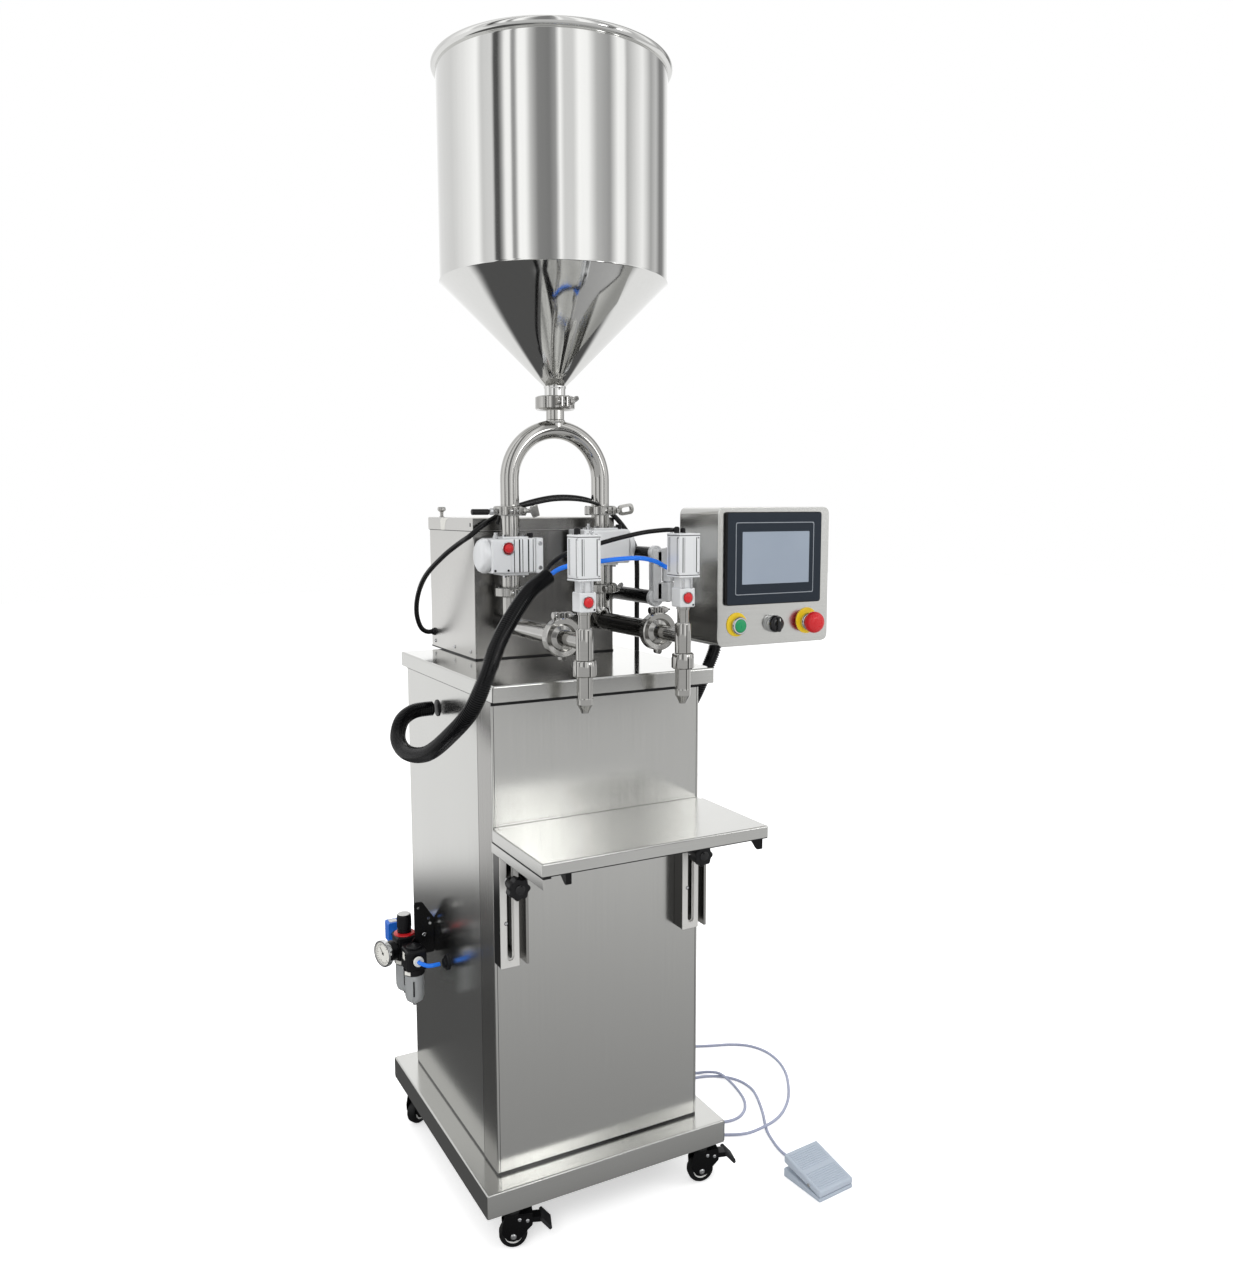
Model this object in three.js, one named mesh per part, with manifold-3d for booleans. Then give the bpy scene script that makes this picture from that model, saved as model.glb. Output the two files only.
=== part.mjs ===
// Two-nozzle food filling machine on casters, with its foot pedal on the floor beside it.
// Millimetres, +Z up. The nozzles and the shelf face -Y and the control box is at +X.
// The machine is built about the middle of its base. The last step moves everything so that the
// origin is on the floor under the middle of the object.

import * as THREE from 'three';
import { mergeVertices } from 'three/addons/utils/BufferGeometryUtils.js';
import Module from 'manifold-3d';

const wasm = await Module();
wasm.setup();

// Clearances, and the overrun of every cut and every fused joint
const seatGap = 0.3;
const slideGap = 0.4;
const holeGap = 0.9;
const overrun = 1;

// Sheet metal
const sheet = 2;
const thickSheet = 3;
const sheetCorner = 3;

// Base and casters
const baseWidth = 490;
const baseDepth = 543;
const baseTop = 118;
const baseHeight = 44;
const wheelRadius = 25;
const wheelWidth = 20;
const casterSideInset = 50;
const casterFrontInset = 18;
const casterRearInset = 59;
const frontTrail = -4;
const rearTrail = 27;

// Cabinet and table
const cabinetWidth = 413;
const cabinetDepth = 458;
const cabinetSetback = 2;
const tableTop = 1002;
const tableLip = 28;
const tableSideReach = 10.5;
const tableFrontReach = 36;
const tableBackReach = 5;

// Product line
const lineX = 17.5;
const lineY = -14;
const linePitch = 190;
const tubeRadius = 17.5;
const tubeWall = 1.5;
const riserZ = 1488;
const archTop = 1457;
const upperJointZ = 1287;
const lowerJointZ = 1136;
const feedZ = 1072;
const nozzleClampY = -236;
const ferruleRadius = 25.2;
const ferruleThickness = 2.9;
const ferruleTaper = 3.1;
const bigFerruleRadius = 32;

// Housing behind the product line, centred on it
const housingWidth = 299;
const housingFront = 36;
const housingDepth = 255;
const housingTop = 1274;
const lidFlange = 25;
const lidWall = 2.2;

// Hopper
const hopperRadius = 211;
const hopperWall = 2;
const hopperRim = 2088;
const rimRadius = 8;
const hopperSeam = 1705;
const hopperNeckTop = 1517;
const hopperNeckRadius = 20;

// Inlet valves
const actuatorWidth = 104;
const actuatorDepth = 70;
const actuatorHeight = 69;
const leftActuatorZ = 1198;
const rightActuatorZ = 1212;
const capRadius = 33;
const capThickness = 15;

// Nozzles
const nozzleY = -322;
const cylinderSize = 42;
const cylinderTop = 1249;
const cylinderBottom = 1174;
const neckSize = 24;
const blockTop = 1156;
const blockBottom = 1123;
const blockSize = 30;
const stemRadius = 10.2;
const stemBottom = 1096;
const sleeveRadius = 14.2;
const sleeveBottom = 1043;
const collarRadius = 19.8;
const collarBottom = 1016;
const spoutRadius = 13.6;
const spoutShoulder = 969;
const spoutTip = 955;
const tipRadius = 6.5;
const needleRadius = 3;
const needleTravel = 16;

// Metering pistons inside the housing
const boreRadius = 30;
const barrelRadius = 36;
const barrelLength = 104;
const pistonTravel = 70;

// Control box and its arm
const boxWidth = 256;
const boxHeight = 258;
const boxDepth = 134;
const boxLeft = 235;
const boxFront = -245;
const boxBottom = 1035;
const boxCorner = 12;
const panelWidth = 225;
const panelHeight = 167;
const panelThickness = 7;
const panelSideInset = 10;
const panelTopInset = 12;
const buttonHeight = 39;
const buttonPitch = 80.5;
const buttonInset = 45;
const armLowZ = 1119;
const armHighZ = 1206;
const armLowRadius = 13.5;
const armHighRadius = 10.5;
const armStandoff = 23;
const armFront = -78;
const armBack = 122;

// Shelf
const shelfTop = 753;
const shelfLip = 20;
const shelfSideReach = 5.5;
const shelfRun = 205;
const shelfBackGap = 10;
const railDepth = 30;
const railWidth = 52;
const railDrop = 240;
const railSideReach = 0.5;
const rightRailInset = 51.5;
const slotOffset = 18;
const slotWidth = 10;
const slotBottomDrop = 227;
const slotTopDrop = 53;
const knobDrop = 89;
const knobRadius = 20;
const knobReach = 24;

// Air preparation unit on the left side
const airStandoff = 49.5;
const airFrontY = 76;
const airPitch = 60;
const airTop = 446;
const airBowlTop = 382;
const airPortZ = 420;

// Foot pedal
const pedalX = 395;
const pedalY = -370;
const pedalTurn = 5;
const pedalWidth = 86;
const pedalLength = 100;
const pedalLowHeight = 22;
const pedalHighHeight = 47;

// Hoses, cables and the pedal's cord
const cordRadius = 3;
const hoseRadius = 14;
const conduitRadius = 13;
const airTubeRadius = 4;
const cableRadius = 5;

const degree = Math.PI / 180;

const finish = (color, roughness, metalness) => (
  new THREE.MeshStandardMaterial({ color, roughness, metalness })
);

const finishes = {
  brushed: finish(0xc9cacb, 0.35, 1),
  polished: finish(0xd8d9da, 0.12, 1),
  cast: finish(0xb9babc, 0.4, 0.8),
  aluminium: finish(0xe4e5e6, 0.4, 0.5),
  black: finish(0x16171a, 0.5, 0),
  rubber: finish(0x101012, 0.75, 0),
  steel: finish(0x9a9c9f, 0.3, 1),
  slate: finish(0x2c323c, 0.4, 0.1),
  green: finish(0x1f9a5b, 0.35, 0),
  red: finish(0xcf1f24, 0.35, 0),
  blue: finish(0x1f7fe0, 0.4, 0),
  pedal: finish(0xb9c2cf, 0.55, 0),
  cord: finish(0xc9cde0, 0.5, 0),
};

// Closed meshes and booleans

function signedVolume(position, index) {
  const a = new THREE.Vector3();
  const b = new THREE.Vector3();
  const c = new THREE.Vector3();
  let sum = 0;
  for (let i = 0; i < index.length; i += 3) {
    a.fromBufferAttribute(position, index[i]);
    b.fromBufferAttribute(position, index[i + 1]);
    c.fromBufferAttribute(position, index[i + 2]);
    sum += a.dot(b.cross(c));
  }
  return sum;
}

// Shared vertices are merged, slivers at a pole are dropped and the faces are turned outwards.
function closed(geometry) {
  const bare = geometry.clone();
  bare.deleteAttribute('normal');
  bare.deleteAttribute('uv');
  const merged = mergeVertices(bare, 1e-3);
  const source = Array.from(merged.index.array);
  const kept = [];
  for (let i = 0; i < source.length; i += 3) {
    const [p, q, r] = source.slice(i, i + 3);
    if (p !== q && q !== r && r !== p) kept.push(p, q, r);
  }
  if (signedVolume(merged.attributes.position, kept) < 0) {
    for (let i = 0; i < kept.length; i += 3) {
      const second = kept[i + 1];
      kept[i + 1] = kept[i + 2];
      kept[i + 2] = second;
    }
  }
  merged.setIndex(kept);
  return merged;
}

function solid(geometry) {
  const shape = closed(geometry);
  return new wasm.Manifold(new wasm.Mesh({
    numProp: 3,
    vertProperties: new Float32Array(shape.attributes.position.array),
    triVerts: new Uint32Array(shape.index.array),
  }));
}

function geometryOf(manifold) {
  const mesh = manifold.getMesh();
  const geometry = new THREE.BufferGeometry();
  const position = new THREE.BufferAttribute(new Float32Array(mesh.vertProperties), 3);
  geometry.setAttribute('position', position);
  geometry.setIndex(new THREE.BufferAttribute(new Uint32Array(mesh.triVerts), 1));
  return geometry;
}

function joined(...geometries) {
  return geometryOf(geometries.map(solid).reduce((sum, next) => sum.add(next)));
}

function cut(body, ...tools) {
  return geometryOf(tools.map(solid).reduce((sum, next) => sum.subtract(next), solid(body)));
}

// Basic forms

function block(x0, x1, y0, y1, z0, z1) {
  const geometry = new THREE.BoxGeometry(x1 - x0, y1 - y0, z1 - z0);
  return geometry.translate((x0 + x1) / 2, (y0 + y1) / 2, (z0 + z1) / 2);
}

// A turned form about Z. Each pair is a radius and a height.
function turned(pairs, sides = 14) {
  const points = pairs.map(([r, z]) => new THREE.Vector2(r, z));
  return new THREE.LatheGeometry(points, sides).rotateX(Math.PI / 2);
}

// A turned tube: the outline pairs run once round the wall and close on the first.
function turnedRing(pairs, sides = 14) {
  return turned([...pairs, pairs[0]], sides);
}

function rod(radius, z0, z1, sides = 14) {
  return turned([[0, z0], [radius, z0], [radius, z1], [0, z1]], sides);
}

// Turns a form made about Z so that its axis runs along X or Y.
function alongX(geometry) {
  return geometry.rotateY(Math.PI / 2);
}

function alongY(geometry) {
  return geometry.rotateX(-Math.PI / 2);
}

// Takes a form from the XY plane to the XZ plane, its depth towards -Y.
function upright(geometry) {
  return geometry.rotateX(Math.PI / 2);
}

function roundedOutline(width, height, radius) {
  const x = width / 2 - radius;
  const y = height / 2 - radius;
  const shape = new THREE.Shape();
  shape.absarc(x, y, radius, 0, Math.PI / 2);
  shape.absarc(-x, y, radius, Math.PI / 2, Math.PI);
  shape.absarc(-x, -y, radius, Math.PI, 1.5 * Math.PI);
  shape.absarc(x, -y, radius, 1.5 * Math.PI, 2 * Math.PI);
  return shape;
}

function extruded(shape, depth, curveSegments = 1) {
  return new THREE.ExtrudeGeometry(shape, { depth, bevelEnabled: false, curveSegments });
}

function polygon(...pairs) {
  return new THREE.Shape(pairs.map(([x, y]) => new THREE.Vector2(x, y)));
}

function routeOf(points) {
  const places = points.map(([x, y, z]) => new THREE.Vector3(x, y, z));
  return new THREE.CatmullRomCurve3(places, false, 'centripetal');
}

// A plain round tube along a route.
function tubeAlong(route, radius, steps, sides = 8) {
  const section = new THREE.Shape();
  section.absarc(0, 0, radius, 0, 2 * Math.PI);
  return new THREE.ExtrudeGeometry(section, {
    steps,
    extrudePath: route,
    bevelEnabled: false,
    curveSegments: sides / 2,
  });
}

const meshes = [];

function add(name, geometry, material) {
  const mesh = new THREE.Mesh(closed(geometry), finishes[material]);
  mesh.name = name;
  meshes.push(mesh);
}

// Base tray with its caster pads

const baseBottom = baseTop - baseHeight;
const padSize = 64;
const casterPlaces = [
  { name: 'front_left', side: -1, front: true, turn: -20 },
  { name: 'front_right', side: 1, front: true, turn: -15 },
  { name: 'rear_left', side: -1, front: false, turn: 30 },
  { name: 'rear_right', side: 1, front: false, turn: 30 },
].map((place) => ({
  ...place,
  x: place.side * (baseWidth / 2 - casterSideInset),
  y: place.front ? casterFrontInset - baseDepth / 2 : baseDepth / 2 - casterRearInset,
}));

function basePlate() {
  const x = baseWidth / 2;
  const y = baseDepth / 2;
  const tray = extruded(roundedOutline(baseWidth, baseDepth, sheetCorner), baseHeight);
  const hollow = block(-x + sheet, x - sheet, -y + sheet, y - sheet,
    baseBottom - overrun, baseTop - sheet);
  const shell = cut(tray.translate(0, 0, baseBottom), hollow);
  const pads = casterPlaces.map((place) => {
    const end = place.front ? -1 : 1;
    const xs = [place.side * (x - sheet / 2), place.x - place.side * padSize / 2];
    const ys = [end * (y - sheet / 2), place.y - end * padSize / 2];
    return block(Math.min(...xs), Math.max(...xs), Math.min(...ys), Math.max(...ys),
      baseBottom, baseBottom + thickSheet);
  });
  add('base_plate', joined(shell, ...pads), 'brushed');
}

// Casters. The fork hangs on its swivel axis and the axle is one trail behind it, along local -X.
// The front wheels stand a little before theirs.

const forkTop = baseBottom - seatGap;
const swivelRadius = 17;
const swivelDepth = 10;
const crownThickness = 3.5;
const crownReach = 14;
const legClearance = 1.6;
const legThickness = 2.5;
const legHalfFoot = 9;
const axleRadius = 3;
const axleHead = 2;
const brakePinX = 29;
const brakePinDrop = 21;
const brakePinRadius = 2.5;
const legInner = wheelWidth / 2 + legClearance;
const legOuter = legInner + legThickness;
const crownTop = forkTop - swivelDepth + overrun * 2;
const brakePinZ = baseBottom - brakePinDrop;

function casterFork(trail, brake) {
  const axle = -trail;
  const nose = brake ? brakePinX + legHalfFoot : swivelRadius;
  const tail = axle - crownReach;
  const outline = polygon(
    [axle - legHalfFoot, wheelRadius - legHalfFoot / 2], [axle + legHalfFoot, wheelRadius - legHalfFoot / 2],
    [nose, brakePinZ - legHalfFoot], [nose, crownTop], [tail, crownTop], [tail, brakePinZ - swivelDepth],
  );
  const parts = [
    rod(swivelRadius, crownTop - overrun, forkTop),
    block(tail, nose, -legOuter, legOuter, crownTop - crownThickness, crownTop),
    upright(extruded(outline, legThickness)).translate(0, legOuter, 0),
    upright(extruded(outline, legThickness)).translate(0, -legInner, 0),
  ];
  const end = legOuter + axleHead;
  parts.push(alongY(rod(axleRadius, -end, end, 12)).translate(axle, 0, wheelRadius));
  if (brake) parts.push(alongY(rod(brakePinRadius, -end, end, 10)).translate(brakePinX, 0, brakePinZ));
  return joined(...parts);
}

const treadChamfer = 3;
const treadDepth = 6;
const hubRecess = 1.5;

function casterWheel(trail) {
  const half = wheelWidth / 2;
  const hub = half - hubRecess;
  const bore = axleRadius + slideGap;
  const rim = wheelRadius - treadDepth;
  const ring = turnedRing([
    [bore, -hub], [rim - treadChamfer, -hub], [rim, -half], [wheelRadius, -half + treadChamfer],
    [wheelRadius, half - treadChamfer], [rim, half], [rim - treadChamfer, hub], [bore, hub],
  ], 16);
  return alongY(ring).translate(-trail, 0, wheelRadius);
}

const brakeArmLength = 26;
const brakeArmHalf = 2.5;
const brakeKnuckle = 5.5;
const brakePadLength = 26;
const brakePadWidth = 34;
const brakePadHalf = 3.5;
const brakePadTurn = 48;

function brakePedal() {
  const half = legInner - legClearance;
  const tip = brakePinX + brakeArmLength;
  const arm = block(brakePinX - brakeKnuckle / 2, tip, -half, half,
    brakePinZ - brakeArmHalf, brakePinZ + brakeArmHalf);
  const knuckle = alongY(rod(brakeKnuckle, -half, half, 12)).translate(brakePinX, 0, brakePinZ);
  const pad = block(-brakePadHalf, brakePadLength - brakePadHalf, -brakePadWidth / 2, brakePadWidth / 2,
    -brakePadHalf, brakePadHalf).rotateY(brakePadTurn * degree).translate(tip, 0, brakePinZ);
  const pin = alongY(rod(brakePinRadius + slideGap, -brakePadWidth, brakePadWidth, 12));
  return cut(joined(arm, knuckle, pad), pin.translate(brakePinX, 0, brakePinZ));
}

function casters() {
  for (const { name, x, y, turn, front } of casterPlaces) {
    const trail = front ? frontTrail : rearTrail;
    const place = (geometry) => geometry.rotateZ(turn * degree).translate(x, y, 0);
    add(`${name}_caster_fork`, place(casterFork(trail, front)), 'black');
    add(`${name}_caster_wheel`, place(casterWheel(trail)), 'rubber');
    if (front) add(`${name}_brake_pedal`, place(brakePedal()), 'black');
  }
}

// Cabinet with the glands on its side walls. Each gland is a place, a radius and a length.

const cabinetLeft = -cabinetWidth / 2;
const cabinetRight = cabinetWidth / 2;
const cabinetFront = cabinetSetback - cabinetDepth / 2;
const cabinetBack = cabinetSetback + cabinetDepth / 2;
const hoseGland = { y: 46, z: 915, radius: 21, length: 9 };
const airGland = { y: 22, z: 418, radius: 10, length: 15 };
const conduitGland = { y: -70, z: 856, radius: 19, length: 9 };
const cordGland = { y: 150, z: 175, radius: 9, length: 18 };
const sideLatch = { y: -205, z: 790, radius: 8, length: 10 };

function sideBoss({ y, z, radius, length }, wallX, side) {
  const boss = alongX(rod(radius, -sheet / 2, length, 12));
  if (side < 0) boss.rotateZ(Math.PI);
  return boss.translate(wallX, y, z);
}

function cabinet() {
  const bottom = baseTop + seatGap;
  const top = tableTop - sheet - seatGap;
  const outer = extruded(roundedOutline(cabinetWidth, cabinetDepth, sheetCorner), top - bottom);
  const inner = block(cabinetLeft + sheet, cabinetRight - sheet, cabinetFront + sheet,
    cabinetBack - sheet, bottom + sheet, top + overrun);
  add('cabinet_body', joined(
    cut(outer.translate(0, cabinetSetback, bottom), inner),
    sideBoss(hoseGland, cabinetLeft, -1), sideBoss(airGland, cabinetLeft, -1),
    sideBoss(conduitGland, cabinetRight, 1), sideBoss(cordGland, cabinetRight, 1),
    sideBoss(sideLatch, cabinetRight, 1),
  ), 'brushed');
}

function table() {
  const x = cabinetWidth / 2 + tableSideReach;
  const front = cabinetFront - tableFrontReach;
  const back = cabinetBack + tableBackReach;
  const outer = extruded(roundedOutline(2 * x, back - front, sheetCorner), tableLip);
  const inner = block(-x + sheet, x - sheet, front + sheet, back - sheet,
    tableTop - tableLip - overrun, tableTop - sheet);
  add('table_top', cut(outer.translate(0, (front + back) / 2, tableTop - tableLip), inner), 'brushed');
}

// Housing with its lid

const housingLeft = lineX - housingWidth / 2;
const housingRight = lineX + housingWidth / 2;
const housingBack = housingFront + housingDepth;
const sensorGland = { y: 271, z: 1035, radius: 8, length: 7 };
const legXs = [lineX - linePitch / 2, lineX + linePitch / 2];

function housing() {
  const bottom = tableTop + seatGap;
  const top = housingTop - sheet - seatGap;
  const outer = block(housingLeft, housingRight, housingFront, housingBack, bottom, top);
  const inner = block(housingLeft + sheet, housingRight - sheet, housingFront + sheet,
    housingBack - sheet, bottom + sheet, top + overrun);
  const holes = legXs.map((x) => alongY(rod(tubeRadius + holeGap, housingFront - overrun,
    housingFront + sheet + overrun)).translate(x, 0, feedZ));
  const boss = sideBoss(sensorGland, housingLeft, -1);
  add('rear_housing', joined(cut(outer, inner, ...holes), boss), 'polished');
}

const latchNotch = { y0: 178, y1: 243, height: 13 };
const lidScrew = { inset: 9, y: 212, neck: 4, neckHeight: 4, head: 8, height: 14 };

function housingLid() {
  const reach = seatGap + lidWall;
  const bottom = housingTop - lidFlange;
  const outer = block(housingLeft - reach, housingRight + reach, housingFront - reach,
    housingBack + reach, bottom, housingTop);
  const inner = block(housingLeft - seatGap, housingRight + seatGap, housingFront - seatGap,
    housingBack + seatGap, bottom - overrun, housingTop - sheet);
  const notch = block(housingLeft - reach - overrun, housingLeft + overrun, latchNotch.y0, latchNotch.y1,
    bottom - overrun, bottom + latchNotch.height);
  const neckTop = housingTop + lidScrew.neckHeight;
  const screw = turned([[0, housingTop - overrun], [lidScrew.neck, housingTop - overrun],
    [lidScrew.neck, neckTop], [lidScrew.head, neckTop], [lidScrew.head, housingTop + lidScrew.height],
    [0, housingTop + lidScrew.height]], 12).translate(housingLeft + lidScrew.inset, lidScrew.y, 0);
  add('rear_housing_lid', joined(cut(outer, inner, notch), screw), 'polished');
}

// Metering barrels and their pistons

const barrelFront = housingFront + sheet + seatGap;
const barrelFlange = 10;
const barrelMargin = 4;
const feedPipeBack = barrelFront + barrelFlange / 2;
const barrelShoulder = barrelFront + barrelFlange;
const barrelBack = barrelShoulder + barrelLength;
const pistonLength = 18;
const pistonRodRadius = 8;
const yokeHalf = 16;
const yokeThickness = 12;
const pistonRest = barrelLength - pistonTravel - pistonLength - barrelFlange + barrelMargin;

function metering() {
  const side = barrelRadius + barrelMargin;
  const plate = block(legXs[0] - side, legXs[1] + side, barrelFront, barrelShoulder,
    feedZ - side, feedZ + side);
  const barrels = legXs.map((x) => alongY(rod(barrelRadius, barrelShoulder - overrun, barrelBack))
    .translate(x, 0, feedZ));
  const socket = tubeRadius + holeGap;
  const step = feedPipeBack + seatGap;
  const sockets = legXs.map((x) => alongY(turned([
    [0, barrelFront - overrun], [socket, barrelFront - overrun], [socket, step],
    [tubeRadius - tubeWall, step], [tubeRadius - tubeWall, barrelShoulder], [boreRadius, barrelShoulder],
    [boreRadius, barrelBack + overrun], [0, barrelBack + overrun],
  ])).translate(x, 0, feedZ));
  add('metering_barrels', cut(joined(plate, ...barrels), ...sockets), 'steel');

  const face = barrelShoulder + pistonRest;
  const yoke = barrelBack + yokeThickness;
  const parts = legXs.flatMap((x) => [
    alongY(rod(boreRadius - slideGap, face, face + pistonLength)).translate(x, 0, feedZ),
    alongY(rod(pistonRodRadius, face + pistonLength - overrun, yoke + overrun, 12)).translate(x, 0, feedZ),
  ]);
  parts.push(block(legXs[0] - yokeHalf, legXs[1] + yokeHalf, yoke, yoke + yokeThickness,
    feedZ - yokeHalf, feedZ + yokeHalf));
  add('metering_pistons', joined(...parts), 'steel');
}

// Hopper with its rolled rim

function hopper() {
  const bottom = riserZ + seatGap / 2;
  const neck = hopperNeckRadius;
  const r = hopperRadius;
  const wall = hopperWall;
  const bulge = rimRadius * Math.SQRT1_2;
  const rimMiddle = hopperRim - rimRadius;
  const profile = [
    [bigFerruleRadius, bottom], [bigFerruleRadius, bottom + ferruleThickness],
    [neck, bottom + ferruleThickness + ferruleTaper], [neck, hopperNeckTop], [r, hopperSeam],
    [r, rimMiddle - rimRadius], [r + bulge, rimMiddle - bulge], [r + rimRadius, rimMiddle],
    [r + bulge, rimMiddle + bulge], [r, hopperRim], [r - wall, hopperRim - wall],
    [r - wall, hopperSeam + wall / 2], [neck - wall, hopperNeckTop + wall / 2], [neck - wall, bottom],
  ];
  add('hopper', turnedRing(profile, 32).translate(lineX, lineY, 0), 'polished');
}

// A two-ear pipe clamp about Z, with its bolt and wing nut across the front, towards -Y. Its groove
// closes on the cones of the two ferrules.

const seatSlopeShare = 0.42;
const earReach = 8;
const earHalf = 9;
const lugHalf = 6;
const lugReach = 5;
const boltRadius = 3.5;
const boltHead = 14;
const boltTail = 19;
const wingHeight = 15;
const wingThickness = 4;
const faceStep = 2;
const smallClamp = { radius: 31, lip: 21, ferrule: ferruleRadius, height: 18, wing: 24 };
const nozzleClamp = { radius: 34, lip: 21, ferrule: ferruleRadius, height: 18, wing: 22 };
const bigClamp = { radius: 37.5, lip: 26, ferrule: bigFerruleRadius, height: 24, wing: 16 };

function pipeClamp({ radius, lip, ferrule, height, wing }) {
  const half = height / 2;
  const inner = ferrule + holeGap;
  const groove = ferruleThickness + 1.5 * seatGap;
  const seat = groove + (inner - lip) * seatSlopeShare;
  const ring = turnedRing([[lip, -seat], [radius, -half], [radius, half], [lip, seat],
    [inner, groove], [inner, -groove]]);
  const boltY = -radius - earReach / 2;
  const blade = upright(extruded(roundedOutline(wing, wingHeight, wingHeight * 0.4), wingThickness));
  return joined(
    ring,
    block(-earHalf, earHalf, -radius - earReach, thickSheet - radius, faceStep - half, half - faceStep),
    block(-lugHalf, lugHalf, radius - sheet, radius + lugReach, faceStep - half, half - faceStep),
    alongX(rod(boltRadius, -boltHead, boltTail, 8)).translate(0, boltY, 0),
    blade.translate(boltTail - overrun + wing / 2, boltY + wingThickness / 2, 0),
  );
}

// The inverted U from one leg to the other, in the XZ plane about the hopper's axis.
class ArchRoute extends THREE.Curve {
  constructor(bendRadius, bendZ, legBottom) {
    super();
    this.bendRadius = bendRadius;
    this.bendZ = bendZ;
    this.leg = bendZ - legBottom;
  }

  getPoint(t, target = new THREE.Vector3()) {
    const { bendRadius, bendZ, leg } = this;
    const bend = Math.PI * bendRadius;
    const s = t * (2 * leg + bend);
    if (s < leg) return target.set(-bendRadius, 0, bendZ - leg + s);
    if (s > leg + bend) return target.set(bendRadius, 0, bendZ - (s - leg - bend));
    const angle = Math.PI - (s - leg) / bendRadius;
    return target.set(bendRadius * Math.cos(angle), 0, bendZ + bendRadius * Math.sin(angle));
  }
}

// The end of a pipe that widens to its ferrule, as the last pairs of a turned outline.
function ferruleEnd(radius, ferrule, face, towards) {
  const back = face - towards * ferruleThickness;
  return [[radius, back - towards * ferruleTaper], [ferrule, back], [ferrule, face], [0, face]];
}

function manifoldPipe() {
  const bendRadius = linePitch / 2;
  const bendZ = archTop - tubeRadius - bendRadius;
  const crown = bendZ + bendRadius;
  const legBottom = upperJointZ + seatGap / 2;
  const riserTop = riserZ - seatGap / 2;
  const bore = tubeRadius - tubeWall;
  const riserRadius = tubeRadius - slideGap;
  const outer = tubeAlong(new ArchRoute(bendRadius, bendZ, legBottom), tubeRadius, 16, 12);
  const inner = tubeAlong(new ArchRoute(bendRadius, bendZ, legBottom - overrun), bore, 16, 8);
  const riser = turned([[0, crown], [riserRadius, crown],
    ...ferruleEnd(riserRadius, bigFerruleRadius, riserTop, 1)]);
  const riserBore = rod(riserRadius - tubeWall, crown, riserTop + overrun, 12);
  const footTop = legBottom + ferruleThickness + ferruleTaper;
  const foot = [[0, footTop], ...ferruleEnd(tubeRadius, ferruleRadius, legBottom, -1)];
  const feet = [-1, 1].map((side) => turned(foot).translate(side * bendRadius, 0, 0));
  const pipe = cut(joined(outer, riser, ...feet), inner, riserBore);
  add('inlet_manifold', pipe.translate(lineX, lineY, 0), 'polished');
  add('hopper_clamp', pipeClamp(bigClamp).translate(lineX, lineY, riserZ), 'polished');
}

// The pipe runs down through the actuator's body. The round end cap points away from the middle.

const actuatorCorner = 6;
const capEdge = 9;
const flangeHalf = 26;
const flangeThickness = 5;
const plugRadius = 8.5;
const plugHeight = 3;
const plugOffset = 20;
const plugRise = 9;
const grooveDepth = 2;
const grooveWidth = 4;
const grooveShares = [-0.62, -0.3, 0.3, 0.62];

function inletValve(name, x, middleZ, capSide) {
  const low = lowerJointZ + seatGap / 2;
  const high = upperJointZ - seatGap / 2;
  const bar = turned([...ferruleEnd(tubeRadius, ferruleRadius, low, -1).reverse(),
    ...ferruleEnd(tubeRadius, ferruleRadius, high, 1)]);
  const halfWidth = actuatorWidth / 2;
  const halfHeight = actuatorHeight / 2;
  const face = -actuatorDepth / 2;
  const profile = extruded(roundedOutline(actuatorHeight, actuatorDepth, actuatorCorner), actuatorWidth);
  const cap = turned([[0, halfWidth - overrun], [capRadius, halfWidth - overrun],
    [capRadius, halfWidth + capThickness - capEdge], [capRadius - capEdge, halfWidth + capThickness],
    [0, halfWidth + capThickness]]);
  const shell = alongX(joined(profile.translate(0, 0, -halfWidth), cap));
  if (capSide < 0) shell.rotateZ(Math.PI);
  const grooves = grooveShares.map((share) => block(
    tubeRadius + flangeThickness, halfWidth + overrun, face - overrun, face + grooveDepth,
    share * halfHeight - grooveWidth / 2, share * halfHeight + grooveWidth / 2,
  ));
  const grooved = capSide < 0 ? cut(shell, ...grooves) : shell;
  grooved.translate(0, 0, middleZ);
  const flange = (z0, z1) => block(-flangeHalf, flangeHalf, -flangeHalf, flangeHalf, z0, z1);
  const plug = alongY(rod(plugRadius, face - plugHeight, face + overrun, 10));
  const valve = joined(
    bar, grooved,
    flange(middleZ - halfHeight - flangeThickness, overrun + middleZ - halfHeight),
    flange(middleZ + halfHeight - overrun, middleZ + halfHeight + flangeThickness),
    plug.translate(-plugOffset, 0, middleZ + plugRise),
  );
  const bore = rod(tubeRadius - tubeWall, low - overrun, high + overrun, 12);
  add(name, cut(valve, bore).translate(x, lineY, 0), 'aluminium');
}

// An elbow's riser, the run forward to the nozzle and the branch back into the housing.
function feedPipe(name, x) {
  const top = lowerJointZ - seatGap / 2;
  const front = nozzleClampY - lineY + seatGap / 2;
  const back = feedPipeBack - lineY;
  const bore = tubeRadius - tubeWall;
  const riser = turned([[0, feedZ], [tubeRadius, feedZ], ...ferruleEnd(tubeRadius, ferruleRadius, top, 1)]);
  const run = turned([...ferruleEnd(tubeRadius, ferruleRadius, front, -1).reverse(), [tubeRadius, back],
    [0, back]]);
  const runBore = rod(bore, front - overrun, back + overrun, 12);
  const pipe = cut(joined(riser, alongY(run).translate(0, 0, feedZ)),
    rod(bore, feedZ, top + overrun, 12), alongY(runBore).translate(0, 0, feedZ));
  add(name, pipe.translate(x, lineY, 0), 'polished');
}

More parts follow.
